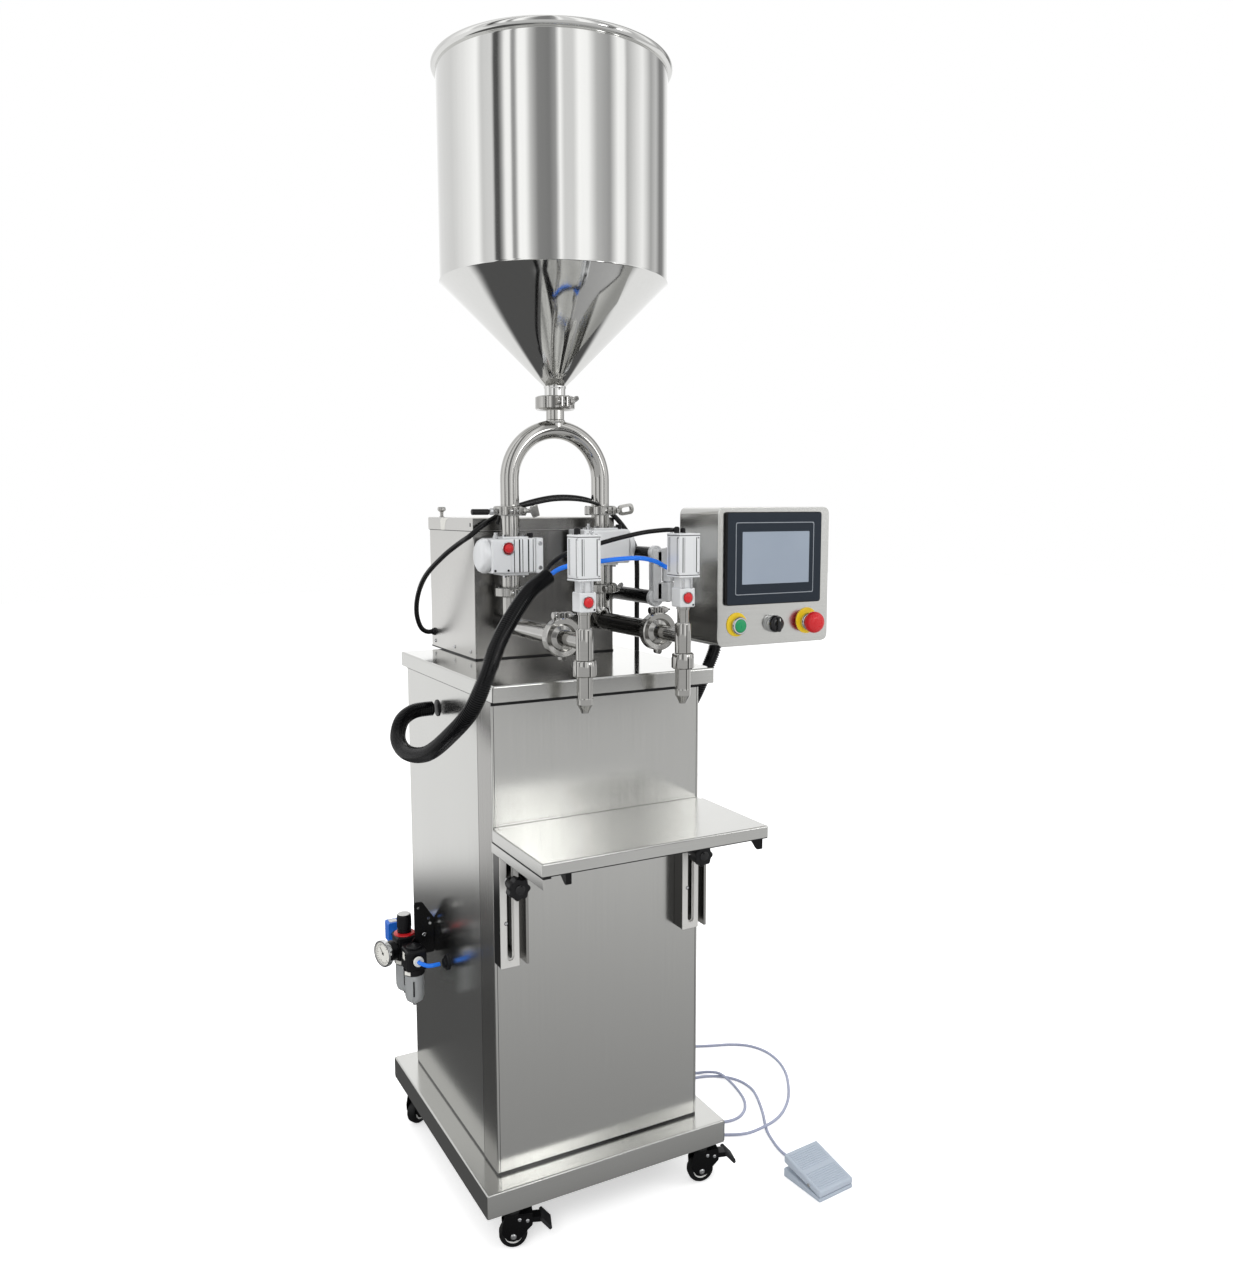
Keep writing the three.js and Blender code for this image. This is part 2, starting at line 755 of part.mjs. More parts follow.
const productSides = [
  { side: 'left', x: legXs[0], z: leftActuatorZ, cap: -1, turn: 0 },
  { side: 'right', x: legXs[1], z: rightActuatorZ, cap: 1, turn: 8 },
];

function productLines() {
  for (const { side, x, z, cap, turn } of productSides) {
    const clampAt = (jointZ) => pipeClamp(smallClamp).rotateZ(turn * degree).translate(x, lineY, jointZ);
    add(`${side}_upper_clamp`, clampAt(upperJointZ), 'polished');
    inletValve(`${side}_inlet_valve`, x, z, cap);
    add(`${side}_lower_clamp`, clampAt(lowerJointZ), 'polished');
    feedPipe(`${side}_feed_pipe`, x);
  }
}

// Nozzles. The needle's plug closes the tip from inside and lifts up through the body.

const nozzleStemTop = blockBottom - seatGap;
const needleEngagement = 8;
const needleTop = blockBottom + needleEngagement;
const branchRadius = 13.5;
const spoutBore = 10;
const tipWall = 2;
const needlePlug = 9;
const needlePlugLength = 6;
const needlePlugTaper = 3;
const cylinderCorner = 4;
const blockCorner = 3;
const redPlugRadius = 8;
const fittingRadius = 5.5;
const fittingHeight = 11;
const fittingPlace = { x: -6, y: 12 };
const gaugeBall = { x: 10, y: -8, radius: 3.5, height: 5 };

function nozzleActuator() {
  const squareBar = (size, corner, z0, z1) => (
    extruded(roundedOutline(size, size, corner), z1 - z0).translate(0, 0, z0)
  );
  const face = -blockSize / 2;
  const body = joined(
    squareBar(cylinderSize, cylinderCorner, cylinderBottom, cylinderTop),
    squareBar(neckSize, blockCorner, blockTop - overrun, cylinderBottom + overrun),
    squareBar(blockSize, blockCorner, blockBottom, blockTop),
    alongY(rod(redPlugRadius, face - plugHeight, face + overrun, 10))
      .translate(0, 0, (blockTop + blockBottom) / 2),
    rod(fittingRadius, cylinderTop - overrun, cylinderTop + fittingHeight, 10)
      .translate(fittingPlace.x, fittingPlace.y, 0),
    rod(gaugeBall.radius, cylinderTop - overrun, cylinderTop + gaugeBall.height, 8)
      .translate(gaugeBall.x, gaugeBall.y, 0),
  );
  const bore = rod(needleRadius + slideGap, blockBottom - overrun, needleTop + needleTravel + overrun, 10);
  return cut(body, bore);
}

function nozzleBody() {
  const stem = turned([[0, sleeveBottom], [sleeveRadius, sleeveBottom], [sleeveRadius, stemBottom],
    [stemRadius, stemBottom], [stemRadius, nozzleStemTop], [0, nozzleStemTop]]);
  const end = nozzleClampY - nozzleY - seatGap / 2;
  const branch = turned([[0, 0], [branchRadius, 0], ...ferruleEnd(branchRadius, ferruleRadius, end, 1)]);
  const seal = stemBottom - tipWall * 2;
  return cut(
    joined(stem, alongY(branch).translate(0, 0, feedZ)),
    rod(spoutBore, sleeveBottom - overrun, seal, 12),
    rod(needleRadius + slideGap, seal - overrun, nozzleStemTop + overrun, 10),
    alongY(rod(branchRadius - tubeWall, 0, end + overrun, 12)).translate(0, 0, feedZ),
  );
}

function nozzleSpout() {
  const top = sleeveBottom - seatGap;
  return turnedRing([
    [tipRadius - tipWall, spoutTip], [tipRadius, spoutTip], [spoutRadius, spoutShoulder],
    [spoutRadius, collarBottom], [collarRadius, collarBottom], [collarRadius, top],
    [spoutBore, top], [spoutBore, spoutShoulder - tipWall / 2],
  ]);
}

function nozzleNeedle() {
  const foot = spoutTip + overrun;
  const plugTop = spoutShoulder + needlePlugLength;
  return turned([[0, foot], [tipRadius - tipWall * 1.3, foot], [needlePlug, spoutShoulder],
    [needlePlug, plugTop], [needleRadius, plugTop + needlePlugTaper], [needleRadius, needleTop],
    [0, needleTop]], 12);
}

function nozzles() {
  for (const { side, x } of productSides) {
    const place = (geometry) => geometry.translate(x, nozzleY, 0);
    const clamp = alongY(pipeClamp(nozzleClamp)).translate(x, nozzleClampY, feedZ);
    add(`${side}_nozzle_clamp`, clamp, 'polished');
    add(`${side}_nozzle_actuator`, place(nozzleActuator()), 'aluminium');
    add(`${side}_nozzle_body`, place(nozzleBody()), 'polished');
    add(`${side}_nozzle_spout`, place(nozzleSpout()), 'polished');
    add(`${side}_nozzle_needle`, place(nozzleNeedle()), 'steel');
  }
}

// Control box, hung on a knuckle at its back left edge

const boxRight = boxLeft + boxWidth;
const boxBack = boxFront + boxDepth;
const boxTop = boxBottom + boxHeight;
const buttonZ = boxBottom + buttonHeight;
const buttonXs = [0, 1, 2].map((i) => boxLeft + buttonInset + i * buttonPitch);
const bezelRadius = 15;
const bezelBore = 11.8;
const bezelDepth = 8;
const collarPlateRadius = 20;
const collarPlateDepth = 2.5;
const knuckleRadius = 12;
const knuckleLow = 1149;
const knuckleHigh = 1177;
const knuckleInset = 16;
const knuckleGap = 17;
const pivotRadius = 5;
const lugWidth = 30;
const lugBack = 9;
const swivelX = boxLeft - knuckleInset;
const swivelY = boxBack + knuckleGap;
const panelLeft = boxLeft + panelSideInset;
const panelRight = panelLeft + panelWidth;
const panelTop = boxTop - panelTopInset;
const panelBottom = panelTop - panelHeight;
const panelInset = 12;
const panelDepth = 32;
const panelCorner = 5;

function controlBox() {
  const middleX = (boxLeft + boxRight) / 2;
  const middleZ = (boxBottom + boxTop) / 2;
  const roundedBox = (inset) => {
    const outline = roundedOutline(boxWidth - 2 * inset, boxHeight - 2 * inset, boxCorner - inset);
    const form = extruded(outline, boxDepth - 2 * inset, 2);
    return alongY(form).translate(middleX, boxFront + inset, middleZ);
  };
  const opening = block(panelLeft + panelInset, panelRight - panelInset, boxFront - overrun,
    boxFront + sheet + overrun, panelBottom + panelInset, panelTop - panelInset);
  const shell = cut(roundedBox(0), roundedBox(sheet), opening);
  const front = (radius, reach, depth, x) => (
    alongY(rod(radius, boxFront - reach, boxFront + depth, 12)).translate(x, 0, buttonZ)
  );
  const rings = buttonXs.map((x) => front(bezelRadius, bezelDepth, overrun, x));
  rings.push(front(collarPlateRadius, collarPlateDepth, overrun, buttonXs[2]));
  const lug = block(swivelX + knuckleRadius / 2, boxLeft + lugWidth, boxBack - overrun,
    swivelY + lugBack, knuckleLow, knuckleHigh);
  const knuckle = rod(knuckleRadius, knuckleLow, knuckleHigh).translate(swivelX, swivelY, 0);
  const holes = buttonXs.map((x) => front(bezelBore, bezelDepth + overrun, sheet + overrun, x));
  const pivotHole = rod(pivotRadius + slideGap, knuckleLow - overrun, knuckleHigh + overrun);
  add('control_box', cut(
    joined(shell, ...rings, lug, knuckle), ...holes, pivotHole.translate(swivelX, swivelY, 0),
  ), 'brushed');
}

function touchScreen() {
  const back = boxFront - seatGap;
  const bezel = alongY(extruded(roundedOutline(panelWidth, panelHeight, panelCorner), panelThickness));
  const inset = panelInset + seatGap;
  const body = block(panelLeft + inset, panelRight - inset, back - overrun, back + panelDepth,
    panelBottom + inset, panelTop - inset);
  add('touch_screen', joined(
    bezel.translate((panelLeft + panelRight) / 2, back - panelThickness, (panelBottom + panelTop) / 2),
    body,
  ), 'slate');
}

const shankDepth = 10;
const capReach = 12;
const capBevel = 2;
const leverWidth = 7;
const leverLength = 22;
const leverReach = 11;
const stopReach = 31;
const stopBack = 14;
const stopRadius = 20;
const stopBevel = 5;

function buttons() {
  const place = (geometry, index) => alongY(geometry).translate(buttonXs[index], boxFront, buttonZ);
  const shank = bezelBore - slideGap;
  const start = turned([[0, -capReach], [shank - capBevel, -capReach], [shank, capBevel / 2 - capReach],
    [shank, shankDepth], [0, shankDepth]]);
  add('start_button', place(start, 0), 'green');
  const knobFace = -capReach + capBevel;
  const lever = block(-leverWidth / 2, leverWidth / 2, -leverLength / 2, leverLength / 2,
    knobFace - leverReach, knobFace + overrun);
  add('mode_selector', place(joined(rod(shank, knobFace, shankDepth), lever), 1), 'black');
  const stop = turned([[0, -stopReach], [stopRadius - stopBevel - overrun, overrun - stopReach],
    [stopRadius - overrun, stopBevel - stopReach], [stopRadius, 2 * stopBevel - stopReach - overrun],
    [stopRadius, -stopBack], [shank, slideGap - stopBack], [shank, shankDepth], [0, shankDepth]]);
  add('emergency_stop', place(stop, 2), 'red');
}

// Two tubes run forward from a bracket on the housing's side to the cast swivel head.

const armTubeX = housingRight + armStandoff;
const armJointReach = 18;
const armJointLength = 22;
const armJointWall = 3.5;
const armBracketLength = 36;
const armBracketMargin = 20;
const headHalfWidth = 9;
const headFront = 10;
const earWidth = 20;
const headMargin = 8;
const windowMargin = 14;

function supportArm() {
  const low = armLowZ - headMargin;
  const high = armHighZ + headMargin;
  const earLow = knuckleLow - slideGap;
  const earHigh = knuckleHigh + slideGap;
  const foot = swivelY - headFront;
  const start = armFront - armJointReach;
  const tube = (radius, z) => alongY(rod(radius, start + overrun, armBack, 12)).translate(armTubeX, 0, z);
  const joint = (radius, z) => (
    alongY(rod(radius + armJointWall, start, start + armJointLength, 12)).translate(armTubeX, 0, z)
  );
  const bracket = block(housingRight + seatGap, armTubeX, armBack - armBracketLength, armBack,
    armLowZ - armBracketMargin, armHighZ + armBracketMargin);
  const web = block(armTubeX - headHalfWidth, armTubeX + headHalfWidth, foot, armFront, low, high);
  const ear = (z0, z1) => joined(
    block(armTubeX, swivelX, foot, foot + earWidth, z0, z1),
    rod(knuckleRadius, z0, z1).translate(swivelX, swivelY, 0),
  );
  const pin = rod(pivotRadius, earLow - overrun, earHigh + overrun).translate(swivelX, swivelY, 0);
  const window = block(armTubeX - headHalfWidth - overrun, armTubeX + headHalfWidth + overrun,
    swivelY + headFront / 2, armFront + overrun, armLowZ + windowMargin * 1.5, armHighZ - windowMargin);
  add('support_arm', joined(
    cut(web, window), tube(armLowRadius, armLowZ), tube(armHighRadius, armHighZ),
    joint(armLowRadius, armLowZ), joint(armHighRadius, armHighZ),
    bracket, ear(low, earLow), ear(earHigh, high), pin,
  ), 'cast');
}

// Height-adjustable shelf: an upturned tray on two slotted channels

const shelfWidth = cabinetWidth + 2 * shelfSideReach;
const shelfFront = cabinetFront - shelfBackGap - shelfRun;
const railBottom = shelfTop - railDrop;
const slotBottom = shelfTop - slotBottomDrop;
const slotTop = shelfTop - slotTopDrop;
const knobZ = shelfTop - knobDrop;
const railFace = cabinetFront - seatGap;
const shelfSeat = shelfTop - shelfLip - seatGap;
const trayUnder = shelfTop - sheet - seatGap;
const trayFront = shelfFront + sheet + seatGap;
const trayBack = shelfFront + shelfRun - sheet - seatGap;
const leftRailX = cabinetLeft - railSideReach;
const rightRailX = cabinetRight - rightRailInset;
const channelWidth = 34;
const gussetInset = 41;
const gussetThickness = 4;
const gussetNose = 21;
const gussetFoot = 10;
const stripDepth = 22;
const stripWidth = 12;
const stripTab = 14;

function shelfTray() {
  const x = shelfWidth / 2;
  const outer = extruded(roundedOutline(shelfWidth, shelfRun, sheetCorner), shelfLip);
  const inner = block(-x + sheet, x - sheet, shelfFront + sheet, shelfFront + shelfRun - sheet,
    shelfTop - shelfLip - overrun, shelfTop - sheet);
  add('shelf_tray', cut(
    outer.translate(0, shelfFront + shelfRun / 2, shelfTop - shelfLip), inner,
  ), 'brushed');
}

// The channel's section is a U for the stud and a Z that stiffens it, drawn from its left edge.
function railSection() {
  const t = thickSheet;
  const d = railDepth;
  return polygon(
    [0, 0], [t, 0], [t, t - d], [channelWidth - t, t - d], [channelWidth - t, 0], [railWidth, 0],
    [railWidth, -d], [railWidth - t, -d], [railWidth - t, -t], [channelWidth, -t], [channelWidth, -d],
    [0, -d],
  );
}

function shelfBracket(name, x, withStrip) {
  const front = railFace - railDepth;
  const channel = extruded(railSection(), shelfSeat - railBottom).translate(x, railFace, railBottom);
  const slotOutline = roundedOutline(slotWidth, slotTop - slotBottom, slotWidth / 2 - overrun / 10);
  const slot = upright(extruded(slotOutline, thickSheet + 2 * overrun, 2))
    .translate(x + slotOffset, front + thickSheet + overrun, (slotTop + slotBottom) / 2);
  const gusset = upright(extruded(polygon(
    [railFace - overrun, knobZ - gussetFoot], [front, knobZ - gussetFoot],
    [trayFront, shelfSeat - gussetNose], [trayFront, trayUnder], [trayBack, trayUnder],
    [trayBack, shelfSeat], [railFace - overrun, shelfSeat],
  ), gussetThickness)).rotateZ(Math.PI / 2).translate(x + gussetInset, 0, 0);
  const parts = [cut(channel, slot), gusset];
  if (withStrip) {
    const flat = shelfSeat - thickSheet;
    const outside = x - thickSheet + sheet / 4;
    parts.push(block(outside, outside + thickSheet, trayFront, railFace, shelfSeat - stripDepth, shelfSeat));
    parts.push(block(outside + sheet, x + stripWidth, trayFront, front + overrun, flat, shelfSeat));
    parts.push(block(x + stripWidth - overrun, x + gussetInset + overrun, trayFront, trayFront + stripTab,
      flat, shelfSeat));
  }
  add(name, joined(...parts), 'brushed');
}

const knobLobeDepth = 1.5;
const knobThickness = 20;
const knobNeck = 9;
const studRadius = 4;

function starKnob(name, x, lobes = 7) {
  const points = 4 * lobes;
  const outline = new THREE.Shape();
  for (let i = 0; i < points; i += 1) {
    const angle = (i / points) * 2 * Math.PI;
    const radius = knobRadius - knobLobeDepth + knobLobeDepth * Math.cos(lobes * angle);
    const place = [radius * Math.cos(angle), radius * Math.sin(angle)];
    if (i === 0) outline.moveTo(...place);
    else outline.lineTo(...place);
  }
  const plate = railFace - railDepth - slideGap;
  const back = plate - knobReach;
  const head = alongY(extruded(outline, knobThickness)).translate(0, back - knobThickness, 0);
  const neck = alongY(rod(knobNeck, back - overrun, plate));
  const stud = alongY(rod(studRadius, plate - overrun, railFace, 12));
  add(name, joined(head, neck, stud).translate(x, 0, knobZ), 'black');
}

function shelf() {
  shelfTray();
  shelfBracket('left_shelf_bracket', leftRailX, true);
  shelfBracket('right_shelf_bracket', rightRailX, false);
  starKnob('left_star_knob', leftRailX + slotOffset);
  starKnob('right_star_knob', rightRailX + slotOffset);
}

// Air preparation unit: a filter with its regulator, a lubricator, a gauge and a shut-off slide

const airX = cabinetLeft - airStandoff;
const airRearY = airFrontY + airPitch;
const airHalf = 20;
const airBodyHalf = 22;
const airStubRadius = 7;
const airBridge = { halfWidth: 13, halfHeight: 15 };
const bowl = { radius: 19, shoulder: 17, foot: 11, drain: 4, drainLength: 8, round: 16, taper: 9 };
const bowlDrop = 70;
const gauge = { stem: 6, start: 10, back: 30, face: 56, radius: 21, turn: 18 };
const bracketSetback = 23;
const bracket = { bottom: 413, top: 521, corner: 487, cornerInset: 24 };
const bracketFlange = { depth: 30, bottom: 425, top: 480 };
const regulator = { gap: 3.3, radius: 14, height: 40, edge: 3, bossHeight: 3 };
const lubricatorDrop = 8;
const inletEnd = 250;
const slideStart = 203;
const slideLength = 26;
const slideHalf = 13;
const slideLow = 402;
const slideHigh = 444;
const outletY = 48;
const outletReach = 8;

function airBowl(y) {
  const low = airBowlTop - bowlDrop;
  const round = low + bowl.drainLength;
  return turned([[0, low], [bowl.drain, low], [bowl.drain, round], [bowl.foot, round],
    [bowl.shoulder, round + bowl.taper * 0.8], [bowl.radius, round + bowl.round],
    [bowl.radius, airBowlTop + sheet], [0, airBowlTop + sheet]]).translate(0, y, 0);
}

function airUnit() {
  const wall = cabinetLeft - seatGap - airX;
  const module = (y, top) => block(-airHalf, airHalf, y - airBodyHalf, y + airBodyHalf, airBowlTop, top);
  const plateY = airFrontY + bracketSetback;
  const plate = upright(extruded(polygon(
    [sheet, bracket.bottom], [wall, bracket.bottom], [wall, bracket.corner],
    [bracket.cornerInset, bracket.top], [sheet, bracket.top],
  ), thickSheet)).translate(0, plateY, 0);
  const flange = block(wall - thickSheet, wall, plateY - thickSheet, plateY + bracketFlange.depth,
    bracketFlange.bottom, bracketFlange.top);
  const turnGauge = (geometry) => (
    alongX(geometry).rotateZ(Math.PI + gauge.turn * degree).translate(0, airRearY, airPortZ)
  );
  const stub = (y0, y1) => alongY(rod(airStubRadius, y0, y1, 10)).translate(0, 0, airPortZ);
  const tubeEnd = wall - airGland.length - seatGap;
  const outlet = routeOf([[0, outletY + overrun, airPortZ], [0, outletY - outletReach, airPortZ],
    [tubeEnd * 0.1, outletY - 2 * outletReach, airPortZ],
    [tubeEnd * 0.35, airGland.y + outletReach / 3, airGland.z],
    [tubeEnd * 0.6, airGland.y, airGland.z], [tubeEnd, airGland.y, airGland.z]]);
  add('air_unit', joined(
    module(airRearY, airTop), module(airFrontY, airTop - lubricatorDrop),
    block(-airBridge.halfWidth, airBridge.halfWidth, airFrontY, airRearY,
      airPortZ - airBridge.halfHeight, airPortZ + airBridge.halfHeight),
    airBowl(airRearY), airBowl(airFrontY), plate, flange,
    turnGauge(rod(gauge.stem, gauge.start, gauge.back + overrun, 8)),
    turnGauge(rod(gauge.radius, gauge.back, gauge.face)),
    rod(bowl.shoulder - thickSheet, airTop - overrun, airTop + regulator.bossHeight, 12)
      .translate(0, airRearY, 0),
    stub(airRearY + airHalf, inletEnd), stub(outletY, airFrontY - airHalf),
    tubeAlong(outlet, airTubeRadius, 8, 6),
  ).translate(airX, 0, 0), 'black');

  const low = airTop + regulator.gap;
  const high = airTop + regulator.height;
  const knob = turned([[0, low], [regulator.radius - regulator.edge, low],
    [regulator.radius, low + regulator.edge], [regulator.radius, high - regulator.edge],
    [regulator.radius - regulator.edge, high], [0, high]]);
  add('regulator_knob', knob.translate(airX, airRearY, 0), 'black');

  const sleeve = block(-slideHalf, slideHalf, slideStart, slideStart + slideLength, slideLow, slideHigh);
  const sleeveBore = alongY(rod(airStubRadius + slideGap, slideStart - overrun,
    slideStart + slideLength + overrun)).translate(0, 0, airPortZ);
  add('shut_off_slide', cut(sleeve, sleeveBore).translate(airX, 0, 0), 'blue');
}

// Foot pedal: a wedge-shaped treadle that hinges on the front edge of its base

const pedalBaseFront = 8;
const pedalBaseBack = 18;
const treadleFrontGap = 0.9;
const treadleBackGap = 11;
const pedalGland = { radius: 5.5, length: 12, x: 2, z: 10 };
const treadGroove = { depth: 1.5, width: 3, margin: 10 };
const treadRibs = 7;

function wedge(y0, y1, lowBottom, lowTop, highBottom, highTop, width) {
  const side = polygon([y0, lowBottom], [y1, highBottom], [y1, highTop], [y0, lowTop]);
  return upright(extruded(side, width)).rotateZ(Math.PI / 2).translate(-width / 2, 0, 0);
}

function footPedal() {
  const place = (geometry) => geometry.rotateZ(pedalTurn * degree).translate(pedalX, pedalY, 0);
  const half = pedalLength / 2;
  const base = wedge(-half, half, 0, pedalBaseFront, 0, pedalBaseBack, pedalWidth);
  const gland = alongY(rod(pedalGland.radius, half - overrun, half + pedalGland.length, 10))
    .translate(pedalGland.x, 0, pedalGland.z);
  add('foot_pedal_base', place(joined(base, gland)), 'pedal');
  const treadle = wedge(-half, half, pedalBaseFront + treadleFrontGap, pedalLowHeight,
    pedalBaseBack + treadleBackGap, pedalHighHeight, pedalWidth);
  const reach = half - treadGroove.margin;
  const last = treadRibs - 2;
  const pitch = (pedalWidth - 2 * treadGroove.margin) / last;
  const rise = (pedalHighHeight - pedalLowHeight) / pedalLength;
  const surface = (y) => pedalLowHeight + (y + half) * rise;
  const grooves = Array.from({ length: last + 1 }, (_, i) => wedge(-reach, reach,
    surface(-reach) - treadGroove.depth, surface(-reach) + overrun,
    surface(reach) - treadGroove.depth, surface(reach) + overrun, treadGroove.width)
    .translate((i - last / 2) * pitch, 0, 0));
  add('foot_treadle', place(cut(treadle, ...grooves)), 'pedal');
}

// Cables, hoses and the pedal's cord. The cord lies in two loops on the floor and climbs the
// cabinet's right side.

const floorZ = cordRadius + slideGap / 2;
const overZ = floorZ + 2 * cordRadius + overrun;
const cordExit = pedalLength / 2 + pedalGland.length + seatGap;
const behindPedal = (reach) => [
  pedalX + pedalGland.x * Math.cos(pedalTurn * degree) - reach * Math.sin(pedalTurn * degree),
  pedalY + pedalGland.x * Math.sin(pedalTurn * degree) + reach * Math.cos(pedalTurn * degree),
  pedalGland.z,
];
const cordRoute = [
  behindPedal(cordExit), behindPedal(cordExit + 2 * cordRadius), [389, -276, 4.5], [391, -250, floorZ], [397, -222, floorZ],
  [407, -190, floorZ], [420, -164, floorZ], [437, -134, floorZ], [453, -101, floorZ],
  [467, -68, floorZ], [475, -36, floorZ],
  [470, 2, floorZ], [450, 32, floorZ], [424, 50, floorZ], [392, 60, floorZ], [350, 58, floorZ],
  [312, 38, floorZ], [292, 0, floorZ], [290, -46, floorZ], [308, -92, floorZ], [351, -119, floorZ],
  [383, -119, floorZ], [411, -102, floorZ], [432, -72, floorZ], [444, -33, floorZ], [447, 4, 6],
  [441, 40, overZ], [426, 62, 7], [404, 77, floorZ], [366, 91, floorZ], [318, 87, floorZ],
  [280, 62, floorZ], [260, 18, floorZ], [256, -40, floorZ], [264, -98, floorZ], [288, -138, floorZ],
  [326, -160, floorZ], [366, -179, 5.5], [411, -181, overZ], [448, -166, 6], [482, -145, floorZ],
  [522, -110, floorZ], [558, -63, floorZ], [586, -14, floorZ], [601, 36, floorZ], [600, 86, floorZ],
  [580, 125, floorZ], [545, 150, floorZ], [507, 165, floorZ], [470, 181, floorZ], [425, 203, floorZ],
  [378, 216, floorZ], [334, 213, floorZ], [300, 198, 5], [280, 180, 20], [cabinetRight + 63, 164, 66],
  [cabinetRight + 57, 154, 124], [cabinetRight + 45, 150, 164], [cabinetRight + 33, 150, 174.5],
  [cabinetRight + cordGland.length + seatGap, cordGland.y, cordGland.z],
];
const cordSteps = 76;

const hoseEnd = cabinetLeft - hoseGland.length - seatGap;
const hoseRoute = [
  [-99, -230, 1178], [-110, -233, 1171], [-134, -241, 1158], [-174, -255, 1118], [-207, -268, 1074],
  [-232, -278, 1024], [cabinetLeft - 46, -262, 967], [cabinetLeft - 66, -215, 919],
  [cabinetLeft - 85, -140, 873], [cabinetLeft - 97, -60, 862], [cabinetLeft - 94, -5, 877],
  [cabinetLeft - 74, 30, 902], [cabinetLeft - 48, 44, 913],
  [hoseEnd - hoseRadius, hoseGland.y, hoseGland.z], [hoseEnd, hoseGland.y, hoseGland.z],
];
const hoseRibs = 64;

const conduitEnd = cabinetRight + conduitGland.length + seatGap;
const conduitRoute = [
  [cabinetRight + 77, -165, boxBottom - seatGap], [cabinetRight + 77, -165, 1008],
  [cabinetRight + 75, -162, 978], [cabinetRight + 67, -152, 942], [cabinetRight + 55, -128, 906],
  [cabinetRight + 46, -100, 876], [cabinetRight + 39, -78, 860],
  [conduitEnd + conduitRadius, conduitGland.y, conduitGland.z],
  [conduitEnd, conduitGland.y, conduitGland.z],
];
const conduitRibs = 26;

const cylinderBack = nozzleY + cylinderSize / 2 + seatGap;
const airTubeRoute = [
  [-92, -228.5, 1181], [-84, -232, 1187], [-70, -244, 1194], [-32, -270, 1201], [12, -282, 1206],
  [52, -286, 1206], [82, -285, 1199], [98, -284, 1191], [103, cylinderBack + 8, 1188],
  [103, cylinderBack, 1188],
];

const fittingBack = nozzleY + fittingPlace.y + fittingRadius + seatGap;
const nozzleCableRoute = [
  [-98, -223, 1189], [-88, -222, 1199], [-68, -232, 1214], [-27, -258, 1229], [15, -272, 1241],
  [58, -280, 1250], [88, -281, 1253], [102, -286, 1254],
  [legXs[1] + fittingPlace.x, fittingBack + 8, 1254], [legXs[1] + fittingPlace.x, fittingBack, 1254],
];

const sensorStart = housingLeft - sensorGland.length - seatGap;
const sensorRoute = [
  [sensorStart, sensorGland.y, sensorGland.z], [-149, 271, 1035],
  [-162, 267, 1043], [-176, 253, 1070], [-183, 228, 1108], [-181, 184, 1154], [-165, 112, 1200],
  [-148, 60, 1228], [-141, 27, 1241], [-127, 22, 1254], [-96, 26, 1272], [-60, 29.5, 1288],
  [-36, 29, 1298], [40, 27, 1313], [110, 25, 1306], [158, 25, 1281], [192, 22, 1244],
  [208.5, 17, 1212], [211, 15, 1180], [211, 15, 1100], [211, 15, 1040], [211, 15, tableTop + seatGap],
];

// A ribbed hose with its bore. Crest and valley rings alternate from end to end.
const boreRibs = 5;

function ribbedHose(route, radius, ribs, depth, sides = 8) {
  const last = 2 * ribs;
  const frames = route.computeFrenetFrames(last, false);
  const centre = new THREE.Vector3();
  const positions = [];
  const index = [];
  const pushRing = (step, ringRadius) => {
    route.getPointAt(step / last, centre);
    const first = positions.length / 3;
    for (let k = 0; k < sides; k += 1) {
      const angle = (k / sides) * 2 * Math.PI;
      const place = frames.normals[step].clone().multiplyScalar(Math.cos(angle) * ringRadius);
      place.addScaledVector(frames.binormals[step], Math.sin(angle) * ringRadius).add(centre);
      positions.push(place.x, place.y, place.z);
    }
    return first;
  };
  const rings = [];
  for (let i = 0; i <= last; i += 1) rings.push(pushRing(i, i % 2 ? radius - depth : radius));
  for (let i = last; i > 0; i -= 2 * boreRibs) rings.push(pushRing(i, radius - 2 * depth));
  rings.push(pushRing(0, radius - 2 * depth), rings[0]);
  for (let i = 0; i + 1 < rings.length; i += 1) {
    for (let k = 0; k < sides; k += 1) {
      const next = (k + 1) % sides;
      const [a, b] = [rings[i], rings[i + 1]];
      index.push(a + k, a + next, b + next, a + k, b + next, b + k);
    }
  }
  const geometry = new THREE.BufferGeometry();
  geometry.setAttribute('position', new THREE.Float32BufferAttribute(positions, 3));
  geometry.setIndex(index);
  return geometry;
}

const ribDepth = 1.6;

function softLines() {
  add('pedal_cord', tubeAlong(routeOf(cordRoute), cordRadius, cordSteps), 'cord');
  add('corrugated_hose', ribbedHose(routeOf(hoseRoute), hoseRadius, hoseRibs, ribDepth), 'rubber');
  add('control_conduit', ribbedHose(routeOf(conduitRoute), conduitRadius, conduitRibs, ribDepth), 'rubber');
  add('nozzle_air_tube', tubeAlong(routeOf(airTubeRoute), airTubeRadius, 20), 'blue');
  add('nozzle_cable', tubeAlong(routeOf(nozzleCableRoute), airTubeRadius, 20), 'black');
  add('sensor_cable', tubeAlong(routeOf(sensorRoute), cableRadius, 38), 'black');
}

basePlate();
casters();
cabinet();
table();
housing();
housingLid();
metering();
hopper();
manifoldPipe();
productLines();
nozzles();
controlBox();
touchScreen();
buttons();
supportArm();
shelf();
airUnit();
footPedal();
softLines();

// The origin goes to the floor under the middle of the object, its loose floor cord left out.
const reach = new THREE.Box3();
for (const mesh of meshes) {
  mesh.geometry.computeBoundingBox();
  if (mesh.name !== 'pedal_cord') reach.union(mesh.geometry.boundingBox);
}
const machine = new THREE.Group();
machine.add(...meshes);
machine.position.set(-(reach.min.x + reach.max.x) / 2, -(reach.min.y + reach.max.y) / 2, -reach.min.z);

const fillingMachine = new THREE.Group();
fillingMachine.add(machine);

export default fillingMachine;
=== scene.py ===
import math

